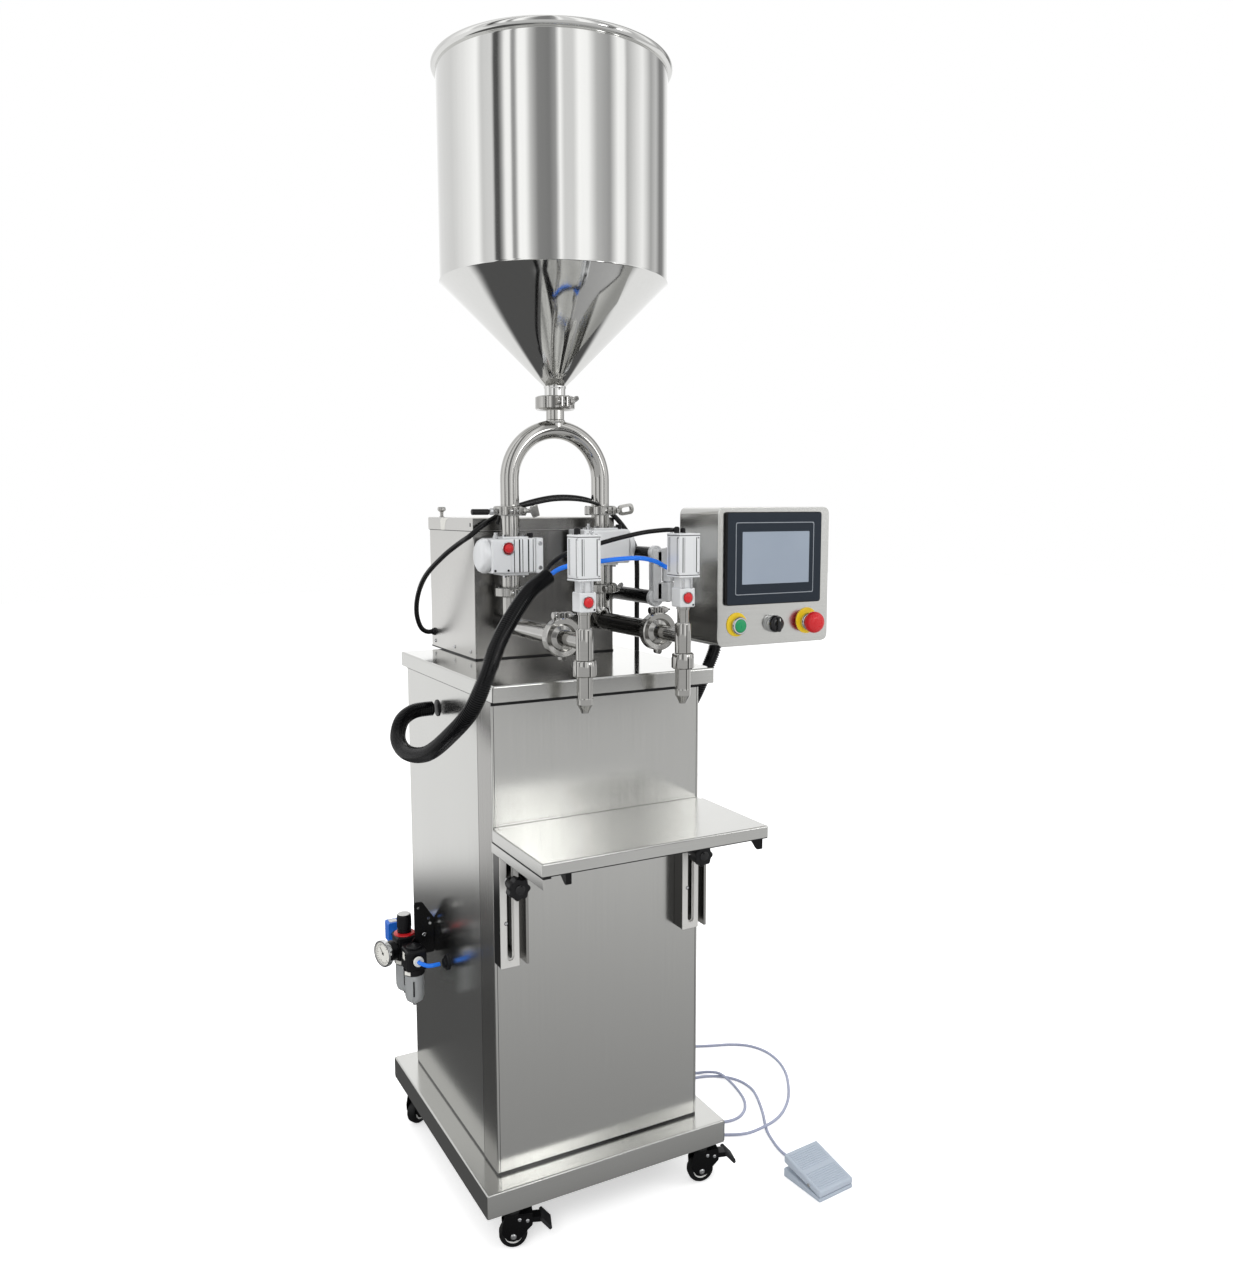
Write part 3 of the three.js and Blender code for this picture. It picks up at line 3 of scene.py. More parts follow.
import bmesh
import bpy
from mathutils import Matrix, Vector
from mathutils.geometry import tessellate_polygon


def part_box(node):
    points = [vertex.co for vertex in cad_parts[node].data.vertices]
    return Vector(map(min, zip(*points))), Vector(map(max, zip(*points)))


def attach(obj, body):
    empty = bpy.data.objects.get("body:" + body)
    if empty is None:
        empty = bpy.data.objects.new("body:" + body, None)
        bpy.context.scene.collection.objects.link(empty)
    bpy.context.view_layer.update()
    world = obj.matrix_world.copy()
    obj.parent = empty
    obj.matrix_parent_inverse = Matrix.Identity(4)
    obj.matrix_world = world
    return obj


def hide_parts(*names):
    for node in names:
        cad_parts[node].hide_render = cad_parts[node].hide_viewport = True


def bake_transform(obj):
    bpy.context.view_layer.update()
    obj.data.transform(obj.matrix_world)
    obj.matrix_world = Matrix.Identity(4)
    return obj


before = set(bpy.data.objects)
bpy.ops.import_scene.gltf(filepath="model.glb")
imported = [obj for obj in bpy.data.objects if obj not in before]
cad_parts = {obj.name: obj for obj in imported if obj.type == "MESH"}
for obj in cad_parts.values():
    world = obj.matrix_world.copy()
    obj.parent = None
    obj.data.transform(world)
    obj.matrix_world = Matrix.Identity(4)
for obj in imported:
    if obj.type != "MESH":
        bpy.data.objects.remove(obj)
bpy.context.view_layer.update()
scene = bpy.context.scene
print("frame loaded")

# Sizes below are in millimetres from the middle of the machine's base, the shelf towards -Y.
# The table's box shows where that point lies in the frame.
mm = 0.001
tableLow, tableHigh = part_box("table_top")
tableFront = -263
middle = Vector(((tableLow[0] + tableHigh[0]) / 2, tableLow[1] - tableFront * mm, 0))


def spot(x, y, z):
    return Vector((x, y, z)) * mm + middle


# Camera at the photograph's place. The picture is 1233 x 1276, taken on a 36 mm long side.
view = {
    "place": (-862, -1890, 1292),
    "yaw": 28.30,
    "pitch": -6.90,
    "roll": -0.13,
    "focalPixels": 1075.4,
    "longSidePixels": 1276,
    "sensorMm": 36,
}


def makeCamera():
    data = bpy.data.cameras.new("camera")
    data.sensor_width = view["sensorMm"]
    data.lens = view["focalPixels"] / view["longSidePixels"] * view["sensorMm"]
    data.clip_end = 100
    camera = bpy.data.objects.new("camera", data)
    camera.location = spot(*view["place"])
    turn = Matrix.Rotation(math.radians(-view["yaw"]), 4, "Z")
    tilt = Matrix.Rotation(math.radians(90 + view["pitch"]), 4, "X")
    roll = Matrix.Rotation(math.radians(view["roll"]), 4, "Z")
    camera.rotation_euler = (turn @ tilt @ roll).to_euler()
    scene.collection.objects.link(camera)
    scene.camera = camera


makeCamera()
print("camera")


# Colours and nodes

def hexColour(code):
    channels = [int(code[i:i + 2], 16) / 255 for i in (1, 3, 5)]
    linear = [c / 12.92 if c <= 0.04045 else ((c + 0.055) / 1.055) ** 2.4 for c in channels]
    return (*linear, 1)


def addNode(tree, kind, settings=(), inputs=()):
    node = tree.nodes.new(kind)
    for key, value in dict(settings).items():
        setattr(node, key, value)
    for key, value in dict(inputs).items():
        if isinstance(value, bpy.types.NodeSocket):
            tree.links.new(value, node.inputs[key])
        else:
            node.inputs[key].default_value = value
    return node


# Each finish: two colours that its surface wanders between, roughness from smooth to dull, the
# size of its pattern in mm along X, Y and Z, and how deep that pattern is. waveMm adds a slow
# unevenness, as rolled and bent sheet has.
finishes = {
    # 304 sheet, belt-brushed upright: soft streaky reflections that run up and down
    "brushedUprightSteel": {
        "colours": ("#d2d2cf", "#c9c9c6"), "metallic": 1, "roughness": (0.17, 0.24),
        "grainMm": (1.6, 1.6, 240), "depthMm": 0.0022, "waveMm": 240, "waveDepthMm": 0.1},
    # 304 sheet, belt-brushed from side to side, on the table, shelf, base and control box
    "brushedLevelSteel": {
        "colours": ("#d2d2cf", "#c9c9c6"), "metallic": 1, "roughness": (0.15, 0.22),
        "grainMm": (240, 1.6, 1.6), "depthMm": 0.0022, "waveMm": 200, "waveDepthMm": 0.1},
    # 304 sheet of the table, half polished: soft-edged reflections
    "polishedSheet": {
        "colours": ("#d6d6d3", "#cdcdca"), "metallic": 1, "roughness": (0.08, 0.13),
        "grainMm": (200, 2, 2), "depthMm": 0.0015, "waveMm": 150, "waveDepthMm": 0.2},
    # mirror-polished 304, buffed after rolling: sharp reflections, a little wavy
    "mirrorSteel": {
        "colours": ("#dededc", "#d6d6d4"), "metallic": 1, "roughness": (0.045, 0.08),
        "grainMm": (7, 7, 320), "depthMm": 0.003, "waveMm": 120, "waveDepthMm": 0.14},
    # polished sanitary tube: sharp but with fine buffing rings
    "polishedPipe": {
        "colours": ("#c2c1be", "#b6b5b2"), "metallic": 1, "roughness": (0.07, 0.11),
        "grainMm": (20, 20, 20), "depthMm": 0.001, "waveMm": 90, "waveDepthMm": 0.02},
    # the same tube with a painted reflection: its colour darkened where it should mirror the dark side of the room
    "paintedDarkReflectionSteel": {
        "colours": ("#4d4c4b", "#454443"), "metallic": 1, "roughness": (0.08, 0.13),
        "grainMm": (20, 20, 20), "depthMm": 0.001, "waveMm": 90, "waveDepthMm": 0.02},
    # front sheet of the housing: half polished, with soft upright reflections; its dark colour is painted shade
    "paintedShadeSheet": {
        "colours": ("#8a8987", "#7c7b79"), "metallic": 1, "roughness": (0.2, 0.28),
        "grainMm": (2, 2, 200), "depthMm": 0.001, "waveMm": 160, "waveDepthMm": 0.1},
    # cabinet corner strip, brushed upright: the cabinet's steel with painted shade, for the side turned from the
    # light
    "paintedShadeUpright": {
        "colours": ("#aeadaa", "#a2a19e"), "metallic": 1, "roughness": (0.2, 0.28),
        "grainMm": (1.6, 1.6, 240), "depthMm": 0.0022, "waveMm": 240, "waveDepthMm": 0.1},
    # shelf rails: bead-blasted, so they stay pale in front of the brushed cabinet
    "blastedSheet": {
        "colours": ("#dddcd9", "#d2d1ce"), "metallic": 0.3, "roughness": (0.3, 0.4),
        "grainMm": (2, 2, 2), "depthMm": 0.003, "waveMm": 80, "waveDepthMm": 0.03},
    # side sheet of the housing, satin
    "satinSheet": {
        "colours": ("#d6d5d2", "#cdccc9"), "metallic": 1, "roughness": (0.26, 0.34),
        "grainMm": (200, 2, 2), "depthMm": 0.001, "waveMm": 160, "waveDepthMm": 0.1},
    # cast and tumbled stainless clamps: satin with a faint orange peel
    "castSteel": {
        "colours": ("#b9b8b5", "#a8a7a4"), "metallic": 1, "roughness": (0.1, 0.15),
        "grainMm": (2.2, 2.2, 2.2), "depthMm": 0.004, "waveMm": 20, "waveDepthMm": 0.03},
    # turned stainless with tool rings
    "turnedSteel": {
        "colours": ("#bdbcb9", "#adaca9"), "metallic": 1, "roughness": (0.03, 0.06),
        "grainMm": (30, 30, 1.6), "depthMm": 0.0015, "waveMm": 30, "waveDepthMm": 0.01},
    # anodised and bead-blasted aluminium: pale, dull, nearly white under soft light
    "anodisedAluminium": {
        "colours": ("#e6e7e8", "#dadcde"), "metallic": 0.3, "roughness": (0.3, 0.38),
        "grainMm": (1.8, 1.8, 1.8), "depthMm": 0.004, "waveMm": 40, "waveDepthMm": 0.02},
    # die-cast grey joints of the arm
    "diecastGrey": {
        "colours": ("#dddedf", "#c6c8ca"), "metallic": 0.4, "roughness": (0.3, 0.4),
        "grainMm": (3, 3, 3), "depthMm": 0.015, "waveMm": 25, "waveDepthMm": 0.05},
    # bright chromed button rings and cap screws
    "chrome": {
        "colours": ("#d9dadb", "#c9cacc"), "metallic": 1, "roughness": (0.06, 0.12),
        "grainMm": (4, 4, 4), "depthMm": 0.003, "waveMm": 12, "waveDepthMm": 0.01},
    # moulded ABS and nylon, fine spark-eroded grain
    "blackNylon": {
        "colours": ("#0b0b0d", "#131316"), "metallic": 0, "roughness": (0.34, 0.46), "specular": 0.3,
        "grainMm": (1.1, 1.1, 1.1), "depthMm": 0.03, "waveMm": 30, "waveDepthMm": 0.03},
    # gloss black caps and selector knob
    "glossBlack": {
        "colours": ("#0b0b0d", "#131316"), "metallic": 0, "roughness": (0.12, 0.2),
        "grainMm": (5, 5, 5), "depthMm": 0.005, "waveMm": 20, "waveDepthMm": 0.01},
    # polyamide conduit, slightly waxy
    "blackConduit": {
        "colours": ("#030304", "#070708"), "metallic": 0, "roughness": (0.14, 0.2), "specular": 0.5,
        "grainMm": (3, 3, 3), "depthMm": 0.004, "waveMm": 40, "waveDepthMm": 0.03},
    # crests of the conduit's ribs: glossy, with painted glints speckled into their colour
    "paintedGlintCrest": {
        "colours": ("#020203", "#1b1c1f"), "metallic": 0, "roughness": (0.1, 0.18), "specular": 0.34,
        "grainMm": (3.4, 3.4, 3.4), "depthMm": 0.01, "waveMm": 9, "waveDepthMm": 0.02},
    # black PVC cable sheath
    "blackSheath": {
        "colours": ("#040405", "#09090b"), "metallic": 0, "roughness": (0.2, 0.28), "specular": 0.32,
        "grainMm": (4, 4, 4), "depthMm": 0.01, "waveMm": 60, "waveDepthMm": 0.02},
    # blue polyurethane air tube, glossy and a little cloudy
    "bluePolyurethane": {
        "colours": ("#0b6eea", "#1a80f4"), "metallic": 0, "roughness": (0.2, 0.3),
        "grainMm": (6, 6, 6), "depthMm": 0.005, "waveMm": 30, "waveDepthMm": 0.01},
    # blue moulded slide of the shut-off valve
    "blueNylon": {
        "colours": ("#1663c9", "#1d70d8"), "metallic": 0, "roughness": (0.32, 0.42),
        "grainMm": (1.4, 1.4, 1.4), "depthMm": 0.02, "waveMm": 20, "waveDepthMm": 0.02},
    # powder-coated black steel of the caster forks
    "blackPowderCoat": {
        "colours": ("#040405", "#08080a"), "metallic": 0, "roughness": (0.2, 0.3), "specular": 0.22,
        "grainMm": (1.6, 1.6, 1.6), "depthMm": 0.01, "waveMm": 30, "waveDepthMm": 0.04},
    # caster tyre
    "blackRubber": {
        "colours": ("#0a0a0b", "#121213"), "metallic": 0, "roughness": (0.42, 0.6), "specular": 0.3,
        "grainMm": (2.5, 2.5, 2.5), "depthMm": 0.05, "waveMm": 30, "waveDepthMm": 0.03},
    # dark grey ribbed brake treads
    "greyTread": {
        "colours": ("#1d1d1f", "#28282a"), "metallic": 0, "roughness": (0.45, 0.6), "specular": 0.35,
        "grainMm": (2, 2, 2), "depthMm": 0.04, "waveMm": 20, "waveDepthMm": 0.03},
    # pale hub ring of the casters
    "paleNylon": {
        "colours": ("#dcdcda", "#cbcbc8"), "metallic": 0, "roughness": (0.3, 0.42),
        "grainMm": (2, 2, 2), "depthMm": 0.02, "waveMm": 20, "waveDepthMm": 0.02},
    "redPlastic": {  # moulded polycarbonate, satin
        "colours": ("#d31f26", "#c0151d"), "metallic": 0, "roughness": (0.24, 0.34),
        "grainMm": (3, 3, 3), "depthMm": 0.01, "waveMm": 15, "waveDepthMm": 0.02},
    "greenPlastic": {
        "colours": ("#139a5f", "#0f8853"), "metallic": 0, "roughness": (0.24, 0.34),
        "grainMm": (3, 3, 3), "depthMm": 0.01, "waveMm": 15, "waveDepthMm": 0.02},
    "yellowPlastic": {
        "colours": ("#f2cf16", "#e2bd0e"), "metallic": 0, "roughness": (0.34, 0.44),
        "grainMm": (3, 3, 3), "depthMm": 0.01, "waveMm": 15, "waveDepthMm": 0.02},
    # slate moulded ABS of the operator panel
    "slateAbs": {
        "colours": ("#131d28", "#1a2531"), "metallic": 0, "roughness": (0.36, 0.46),
        "grainMm": (1.2, 1.2, 1.2), "depthMm": 0.02, "waveMm": 60, "waveDepthMm": 0.02, "specular": 0.3},
    # silver printed line round the screen
    "silverInk": {
        "colours": ("#8f959c", "#a5abb2"), "metallic": 0.6, "roughness": (0.35, 0.45),
        "grainMm": (2, 2, 2), "depthMm": 0.005, "waveMm": 30, "waveDepthMm": 0.01},
    # switched-off display under glass: blue grey, brighter to the top, a painted reflection of the room in its
    # glass
    "displayGlass": {
        "colours": ("#8793a3", "#98a3b1"), "metallic": 0, "roughness": (0.1, 0.16), "coat": 0.6,
        "grainMm": (160, 160, 160), "depthMm": 0, "waveMm": 90, "waveDepthMm": 0.01},
    # pale blue-grey moulded pedal, lightly textured
    "paleBlueAbs": {
        "colours": ("#bcc6d2", "#b0bac7"), "metallic": 0, "roughness": (0.42, 0.54),
        "grainMm": (1.3, 1.3, 1.3), "depthMm": 0.03, "waveMm": 35, "waveDepthMm": 0.05},
    # pale lilac-grey PVC pedal lead
    "palePvc": {
        "colours": ("#aeb3c9", "#a3a9c1"), "metallic": 0, "roughness": (0.34, 0.46),
        "grainMm": (4, 4, 4), "depthMm": 0.01, "waveMm": 50, "waveDepthMm": 0.02},
    "gaugeCard": {  # matt white dial card
        "colours": ("#e9e8e2", "#dddcd5"), "metallic": 0, "roughness": (0.5, 0.6),
        "grainMm": (2, 2, 2), "depthMm": 0.003, "waveMm": 10, "waveDepthMm": 0.003},
    # clear polycarbonate bowls, faintly smoky
    "clearPolycarbonate": {
        "colours": ("#e6e8e9", "#dcdfe0"), "metallic": 0, "roughness": (0.04, 0.08),
        "transmission": 0.62, "ior": 1.58,
        "grainMm": (12, 12, 12), "depthMm": 0.003, "waveMm": 18, "waveDepthMm": 0.02},
}


def emptyTree(owner):
    owner.use_nodes = True
    owner.node_tree.nodes.clear()
    return owner.node_tree


# The fine pattern and the slow one share the colour; fineShare is the first one's part of it.
fineShare, noiseLow, noiseHigh = 0.6, 0.3, 0.7


def makeFinish(name, look):
    material = bpy.data.materials.new(name)
    tree = emptyTree(material)
    place = addNode(tree, "ShaderNodeTexCoord").outputs["Object"]
    scale = [1 / (size * mm) for size in look["grainMm"]]
    grain = addNode(tree, "ShaderNodeMapping", {}, {"Vector": place, "Scale": scale})
    fine = addNode(tree, "ShaderNodeTexNoise", {"noise_dimensions": "3D"},
                   {"Vector": grain.outputs["Vector"], "Scale": 1, "Detail": 3, "Roughness": 0.5})
    slow = addNode(tree, "ShaderNodeTexNoise", {"noise_dimensions": "3D"},
                   {"Vector": place, "Scale": 1 / (look["waveMm"] * mm), "Detail": 2})
    both = addNode(tree, "ShaderNodeMath", {"operation": "MULTIPLY_ADD"},
                   {0: fine.outputs["Fac"], 1: fineShare})
    share = addNode(tree, "ShaderNodeMath", {"operation": "MULTIPLY"}, {
        0: slow.outputs["Fac"], 1: 1 - fineShare})
    tree.links.new(share.outputs[0], both.inputs[2])
    colour = addNode(tree, "ShaderNodeMix", {"data_type": "RGBA"}, {
        0: both.outputs[0], 6: hexColour(look["colours"][0]), 7: hexColour(look["colours"][1])})
    dull = addNode(tree, "ShaderNodeMapRange", {}, {
        "Value": both.outputs[0], "From Min": noiseLow, "From Max": noiseHigh,
        "To Min": look["roughness"][0], "To Max": look["roughness"][1]})
    wavy = addNode(tree, "ShaderNodeBump", {}, {
        "Height": slow.outputs["Fac"], "Distance": look["waveDepthMm"] * mm, "Strength": 1})
    etched = addNode(tree, "ShaderNodeBump", {}, {
        "Height": fine.outputs["Fac"], "Distance": look["depthMm"] * mm, "Strength": 1,
        "Normal": wavy.outputs["Normal"]})
    shader = addNode(tree, "ShaderNodeBsdfPrincipled", {}, {
        "Base Color": colour.outputs[2], "Roughness": dull.outputs["Result"],
        "Metallic": look["metallic"], "Normal": etched.outputs["Normal"]})
    shader.inputs["Transmission Weight"].default_value = look.get("transmission", 0)
    shader.inputs["Coat Weight"].default_value = look.get("coat", 0)
    shader.inputs["Specular IOR Level"].default_value = look.get("specular", 0.5)
    if "ior" in look:
        shader.inputs["IOR"].default_value = look["ior"]
    addNode(tree, "ShaderNodeOutputMaterial", {}, {"Surface": shader.outputs["BSDF"]})
    return material


materials = {name: makeFinish(name, look) for name, look in finishes.items()}
print("finishes", len(materials))


# Shapes. Each is a list of points and a list of faces, in millimetres.

def turned(profile, sides=48):
    closed = profile[0] == profile[-1]
    rows = profile[:-1] if closed else profile
    points, rings, faces = [], [], []
    for radius, height in rows:
        if radius < 1e-6:
            rings.append([len(points)])
            points.append((0, 0, height))
            continue
        rings.append(list(range(len(points), len(points) + sides)))
        for i in range(sides):
            angle = 2 * math.pi * i / sides
            points.append((radius * math.cos(angle), radius * math.sin(angle), height))
    pairs = list(zip(rings, rings[1:])) + ([(rings[-1], rings[0])] if closed else [])
    for low, high in pairs:
        for i in range(sides):
            j = (i + 1) % sides
            if len(low) == 1 and len(high) == 1:
                break
            if len(low) == 1:
                faces.append((low[0], high[j], high[i]))
            elif len(high) == 1:
                faces.append((low[i], low[j], high[0]))
            else:
                faces.append((low[i], low[j], high[j], high[i]))
    return points, faces


def rod(radius, low, high, sides=32, edge=0.0):
    if edge:
        return turned([(0, low), (radius - edge, low), (radius, low + edge),
                       (radius, high - edge), (radius - edge, high), (0, high)], sides)
    return turned([(0, low), (radius, low), (radius, high), (0, high)], sides)


def tube(inner, outer, low, high, sides=48, edge=0.0):
    return turned([(inner, low), (outer - edge, low), (outer, low + edge), (outer, high - edge),
                   (outer - edge, high), (inner, high), (inner, low)], sides)


def bevelled(mesh, edges, radius, steps):
    bmesh.ops.bevel(mesh, geom=edges, offset=radius, segments=steps, profile=0.5,
                    affect="EDGES", clamp_overlap=True)
    mesh.verts.index_update()
    result = [tuple(v.co) for v in mesh.verts], [[v.index for v in f.verts] for f in mesh.faces]
    mesh.free()
    return result


# Rolls every edge sharper than 30 degrees to a small radius.
def softened(shape, radius, steps=2, sharp=30):
    if radius <= 0:
        return shape
    mesh = bmesh.new()
    made = [mesh.verts.new(point) for point in shape[0]]
    for face in shape[1]:
        mesh.faces.new([made[i] for i in face])
    bmesh.ops.recalc_face_normals(mesh, faces=mesh.faces)
    edges = [e for e in mesh.edges
             if len(e.link_faces) == 2 and e.calc_face_angle() > math.radians(sharp)]
    return bevelled(mesh, edges, radius, steps)


def bar(x0, x1, y0, y1, z0, z1, edge=0.0, steps=2):
    points = [(x, y, z) for z in (z0, z1) for y in (y0, y1) for x in (x0, x1)]
    faces = [(0, 2, 3, 1), (4, 5, 7, 6), (0, 1, 5, 4), (2, 6, 7, 3), (0, 4, 6, 2), (1, 3, 7, 5)]
    return softened((points, faces), edge, steps)


# A sheet box that is open on one side: its outside is softened and its inside is square.
def tray(x0, x1, y0, y1, z0, z1, wall, edge):
    outer = [(x0, y0), (x1, y0), (x1, y1), (x0, y1)]
    inner = [(x0 + wall, y0 + wall), (x1 - wall, y0 + wall), (x1 - wall, y1 - wall), (x0 + wall, y1 - wall)]
    points = [(x, y, z1) for x, y in outer] + [(x, y, z0) for x, y in outer]
    points += [(x, y, z0) for x, y in inner] + [(x, y, z1 - wall) for x, y in inner]
    faces = [(0, 1, 2, 3), (12, 13, 14, 15)]
    for low, high in ((0, 4), (4, 8), (8, 12)):
        faces += [(low + i, low + (i + 1) % 4, high + (i + 1) % 4, high + i) for i in range(4)]
    mesh = bmesh.new()
    made = [mesh.verts.new(point) for point in points]
    for face in faces:
        mesh.faces.new([made[i] for i in face])
    bmesh.ops.recalc_face_normals(mesh, faces=mesh.faces)
    # the lip's edges stay sharp
    outside, lip = made[:8], made[4:8]
    edges = [e for e in mesh.edges if all(v in outside for v in e.verts) and not all(v in lip for v in e.verts)]
    return bevelled(mesh, edges, edge, 3)


def rounded(corners, radius, steps=4):
    outline = []
    for i, corner in enumerate(corners):
        here = Vector(corner)
        before = Vector(corners[i - 1]) - here
        after = Vector(corners[(i + 1) % len(corners)]) - here
        half = before.angle(after) / 2
        back = min(radius / math.tan(half), before.length * 0.49, after.length * 0.49)
        first, last = here + before.normalized() * back, here + after.normalized() * back
        for k in range(steps + 1):
            t = k / steps
            outline.append(tuple(first * (1 - t) ** 2 + here * 2 * t * (1 - t) + last * t ** 2))
    return outline


def roundedRectangle(width, height, radius, steps=4):
    x, y = width / 2, height / 2
    return rounded([(-x, -y), (x, -y), (x, y), (-x, y)], radius, steps)


def circle(radius, sides=24, x=0.0, y=0.0):
    turns = [2 * math.pi * i / sides for i in range(sides)]
    return [(x + radius * math.cos(a), y + radius * math.sin(a)) for a in turns]


# A plate in the XY plane from an outline, with holes if it has any.
def plate(outline, low, high, holes=(), edge=0.0, steps=2):
    loops = [outline, *holes]
    flat = [point for loop in loops for point in loop]
    count = len(flat)
    points = [(x, y, low) for x, y in flat] + [(x, y, high) for x, y in flat]
    if holes:
        caps = tessellate_polygon([[Vector((x, y, 0)) for x, y in loop] for loop in loops])
        faces = [tuple(c) for c in caps] + [tuple(i + count for i in c) for c in caps]
    else:
        faces = [tuple(range(count)), tuple(range(count, 2 * count))]
    start = 0
    for loop in loops:
        size = len(loop)
        for i in range(size):
            j = (i + 1) % size
            faces.append((start + i, start + j, start + j + count, start + i + count))
        start += size
    return softened((points, faces), edge, steps)


def placed(shape, x=0.0, y=0.0, z=0.0, turns=()):
    matrix = Matrix.Translation((x, y, z))
    for axis, degrees in turns:
        matrix = matrix @ Matrix.Rotation(math.radians(degrees), 4, axis)
    return [tuple(matrix @ Vector(point)) for point in shape[0]], shape[1]


# Moves pairs of shape and finish together.
def moved(parts, *place, **where):
    return [(placed(shape, *place, **where), finish) for shape, finish in parts]


# Turns for shapes that are drawn upright or flat. acrossX stands a flat outline up along Y and Z.
alongX = (("Y", 90),)
alongY = (("X", -90),)
facingFront = (("X", 90),)
acrossX = (("Z", 90), ("X", 90))


# Smooth route through points, even from end to end. Its ends run straight.
def route(points, count):
    places = [Vector(p) for p in points]
    padded = [2 * places[0] - places[1], *places, 2 * places[-1] - places[-2]]
    dense = []
    for i in range(1, len(padded) - 2):
        a, b, c, d = padded[i - 1:i + 3]
        ta = (b - a).length ** 0.5 or 1
        tb = (c - b).length ** 0.5 or 1
        tc = (d - c).length ** 0.5 or 1
        startSlope = ((b - a) / ta - (c - a) / (ta + tb) + (c - b) / tb) * tb
        endSlope = ((c - b) / tb - (d - b) / (tb + tc) + (d - c) / tc) * tb
        for k in range(24):
            t = k / 24
            dense.append(b * (2 * t ** 3 - 3 * t ** 2 + 1) + startSlope * (t ** 3 - 2 * t ** 2 + t)
                         + c * (3 * t ** 2 - 2 * t ** 3) + endSlope * (t ** 3 - t ** 2))
    dense.append(places[-1])
    reach = [0.0]
    for a, b in zip(dense, dense[1:]):
        reach.append(reach[-1] + (b - a).length)
    even, k = [], 0
    for i in range(count + 1):
        wanted = reach[-1] * i / count
        while k < len(dense) - 2 and reach[k + 1] < wanted:
            k += 1
        share = (wanted - reach[k]) / (reach[k + 1] - reach[k])
        even.append(dense[k].lerp(dense[k + 1], min(max(share, 0), 1)))
    return even


def routeLength(path):
    return sum((b - a).length for a, b in zip(path, path[1:]))


# A round tube along a path. radiusAt gives the radius at each step.
def swept(path, radiusAt, sides=16):
    points, faces = [], []
    ahead = (path[1] - path[0]).normalized()
    side = ahead.orthogonal().normalized()
    for i, place in enumerate(path):
        before, after = path[max(i - 1, 0)], path[min(i + 1, len(path) - 1)]
        ahead = (after - before).normalized()
        side = (side - ahead * side.dot(ahead)).normalized()
        up = ahead.cross(side)
        radius = radiusAt(i) if callable(radiusAt) else radiusAt
        for k in range(sides):
            angle = 2 * math.pi * k / sides
            points.append(tuple(place + (side * math.cos(angle) + up * math.sin(angle)) * radius))
    for i in range(len(path) - 1):
        for k in range(sides):
            j = (k + 1) % sides
            faces.append((i * sides + k, i * sides + j, (i + 1) * sides + j, (i + 1) * sides + k))
    faces.append(tuple(range(sides)))
    faces.append(tuple(range((len(path) - 1) * sides, len(path) * sides)))
    return points, faces


# Makes one object of several shapes, each with its finish, that rides on a body.
def piece(name, body, parts, replaces=(), sharp=40):
    mesh = bmesh.new()
    used = []
    for shape, finish in parts:
        if finish not in used:
            used.append(finish)
        wanted = {i for face in shape[1] for i in face}
        made = {i: mesh.verts.new(spot(*shape[0][i])) for i in wanted}
        own = [mesh.faces.new([made[i] for i in face]) for face in shape[1]]
        bmesh.ops.recalc_face_normals(mesh, faces=own)
        for face in own:
            face.material_index = used.index(finish)
            face.smooth = True
    data = bpy.data.meshes.new(name)
    mesh.to_mesh(data)
    mesh.free()
    for finish in used:
        data.materials.append(materials[finish])
    data.set_sharp_from_angle(angle=math.radians(sharp))
    thing = bpy.data.objects.new(name, data)
    scene.collection.objects.link(thing)
    even = thing.modifiers.new("even shading", "WEIGHTED_NORMAL")
    even.keep_sharp = True
    # a piece without a body is left unattached
    if body:
        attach(thing, body)
    if replaces:
        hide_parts(*replaces)
    return thing


# Cap screw head with a round socket
def screwHead(radius, height):
    return turned([(0, 0), (radius, 0), (radius, height * 0.6), (radius * 0.8, height), (radius * 0.45, height),
                   (radius * 0.4, height * 0.35), (0, height * 0.35)], 20)


# Outside of the cabinet, which the lines below end at, its foot, and what shows on its sheets
cabinet = {"left": -206.5, "right": 206.5, "front": -227, "back": 231, "bottom": 118.3, "top": 999.7,
           "foot": 4, "strip": 65, "stripTop": 973, "doorTop": 972, "shadeTop": 974.3}

# Pedal lead. It leaves the pedal's back, lies in two loops on the floor and climbs to its gland.
# floorZ is its middle where it lies on the floor, overZ where it crosses over itself.
floorZ, overZ = 3.2, 10.2
lead = {
    "diameter": 6, "steps": 520, "points": [
        (391.5626, -307.763, 10), (391.0396, -301.786, 10), (389, -276, 4.5), (391, -250, floorZ),
        (397, -222, floorZ), (407, -190, floorZ), (420, -164, floorZ), (437, -134, floorZ),
        (453, -101, floorZ), (467, -68, floorZ), (475, -36, floorZ),
        (470, 2, floorZ), (450, 32, floorZ), (424, 50, floorZ), (392, 60, floorZ), (350, 58, floorZ),
        (312, 38, floorZ), (292, 0, floorZ), (290, -46, floorZ), (308, -92, floorZ), (351, -119, floorZ),
        (383, -119, floorZ), (411, -102, floorZ), (432, -72, floorZ), (444, -33, floorZ), (447, 4, 6),
        (441, 40, overZ), (426, 62, 7), (404, 77, floorZ), (366, 91, floorZ), (318, 87, floorZ),
        (280, 62, floorZ), (260, 18, floorZ), (256, -40, floorZ), (264, -98, floorZ), (288, -138, floorZ),
        (326, -160, floorZ), (366, -179, 5.5), (411, -181, overZ), (448, -166, 6), (482, -145, floorZ),
        (522, -110, floorZ), (558, -63, floorZ), (586, -14, floorZ), (601, 36, floorZ), (600, 86, floorZ),
        (580, 125, floorZ), (545, 150, floorZ), (507, 165, floorZ), (470, 181, floorZ), (425, 203, floorZ),
        (378, 216, floorZ), (334, 213, floorZ), (300, 198, 5), (280, 180, 20),
        (cabinet["right"] + 63, 164, 66), (cabinet["right"] + 57, 154, 124),
        (cabinet["right"] + 45, 150, 164), (cabinet["right"] + 33, 150, 174.5), (224.8, 150, 175)],
}


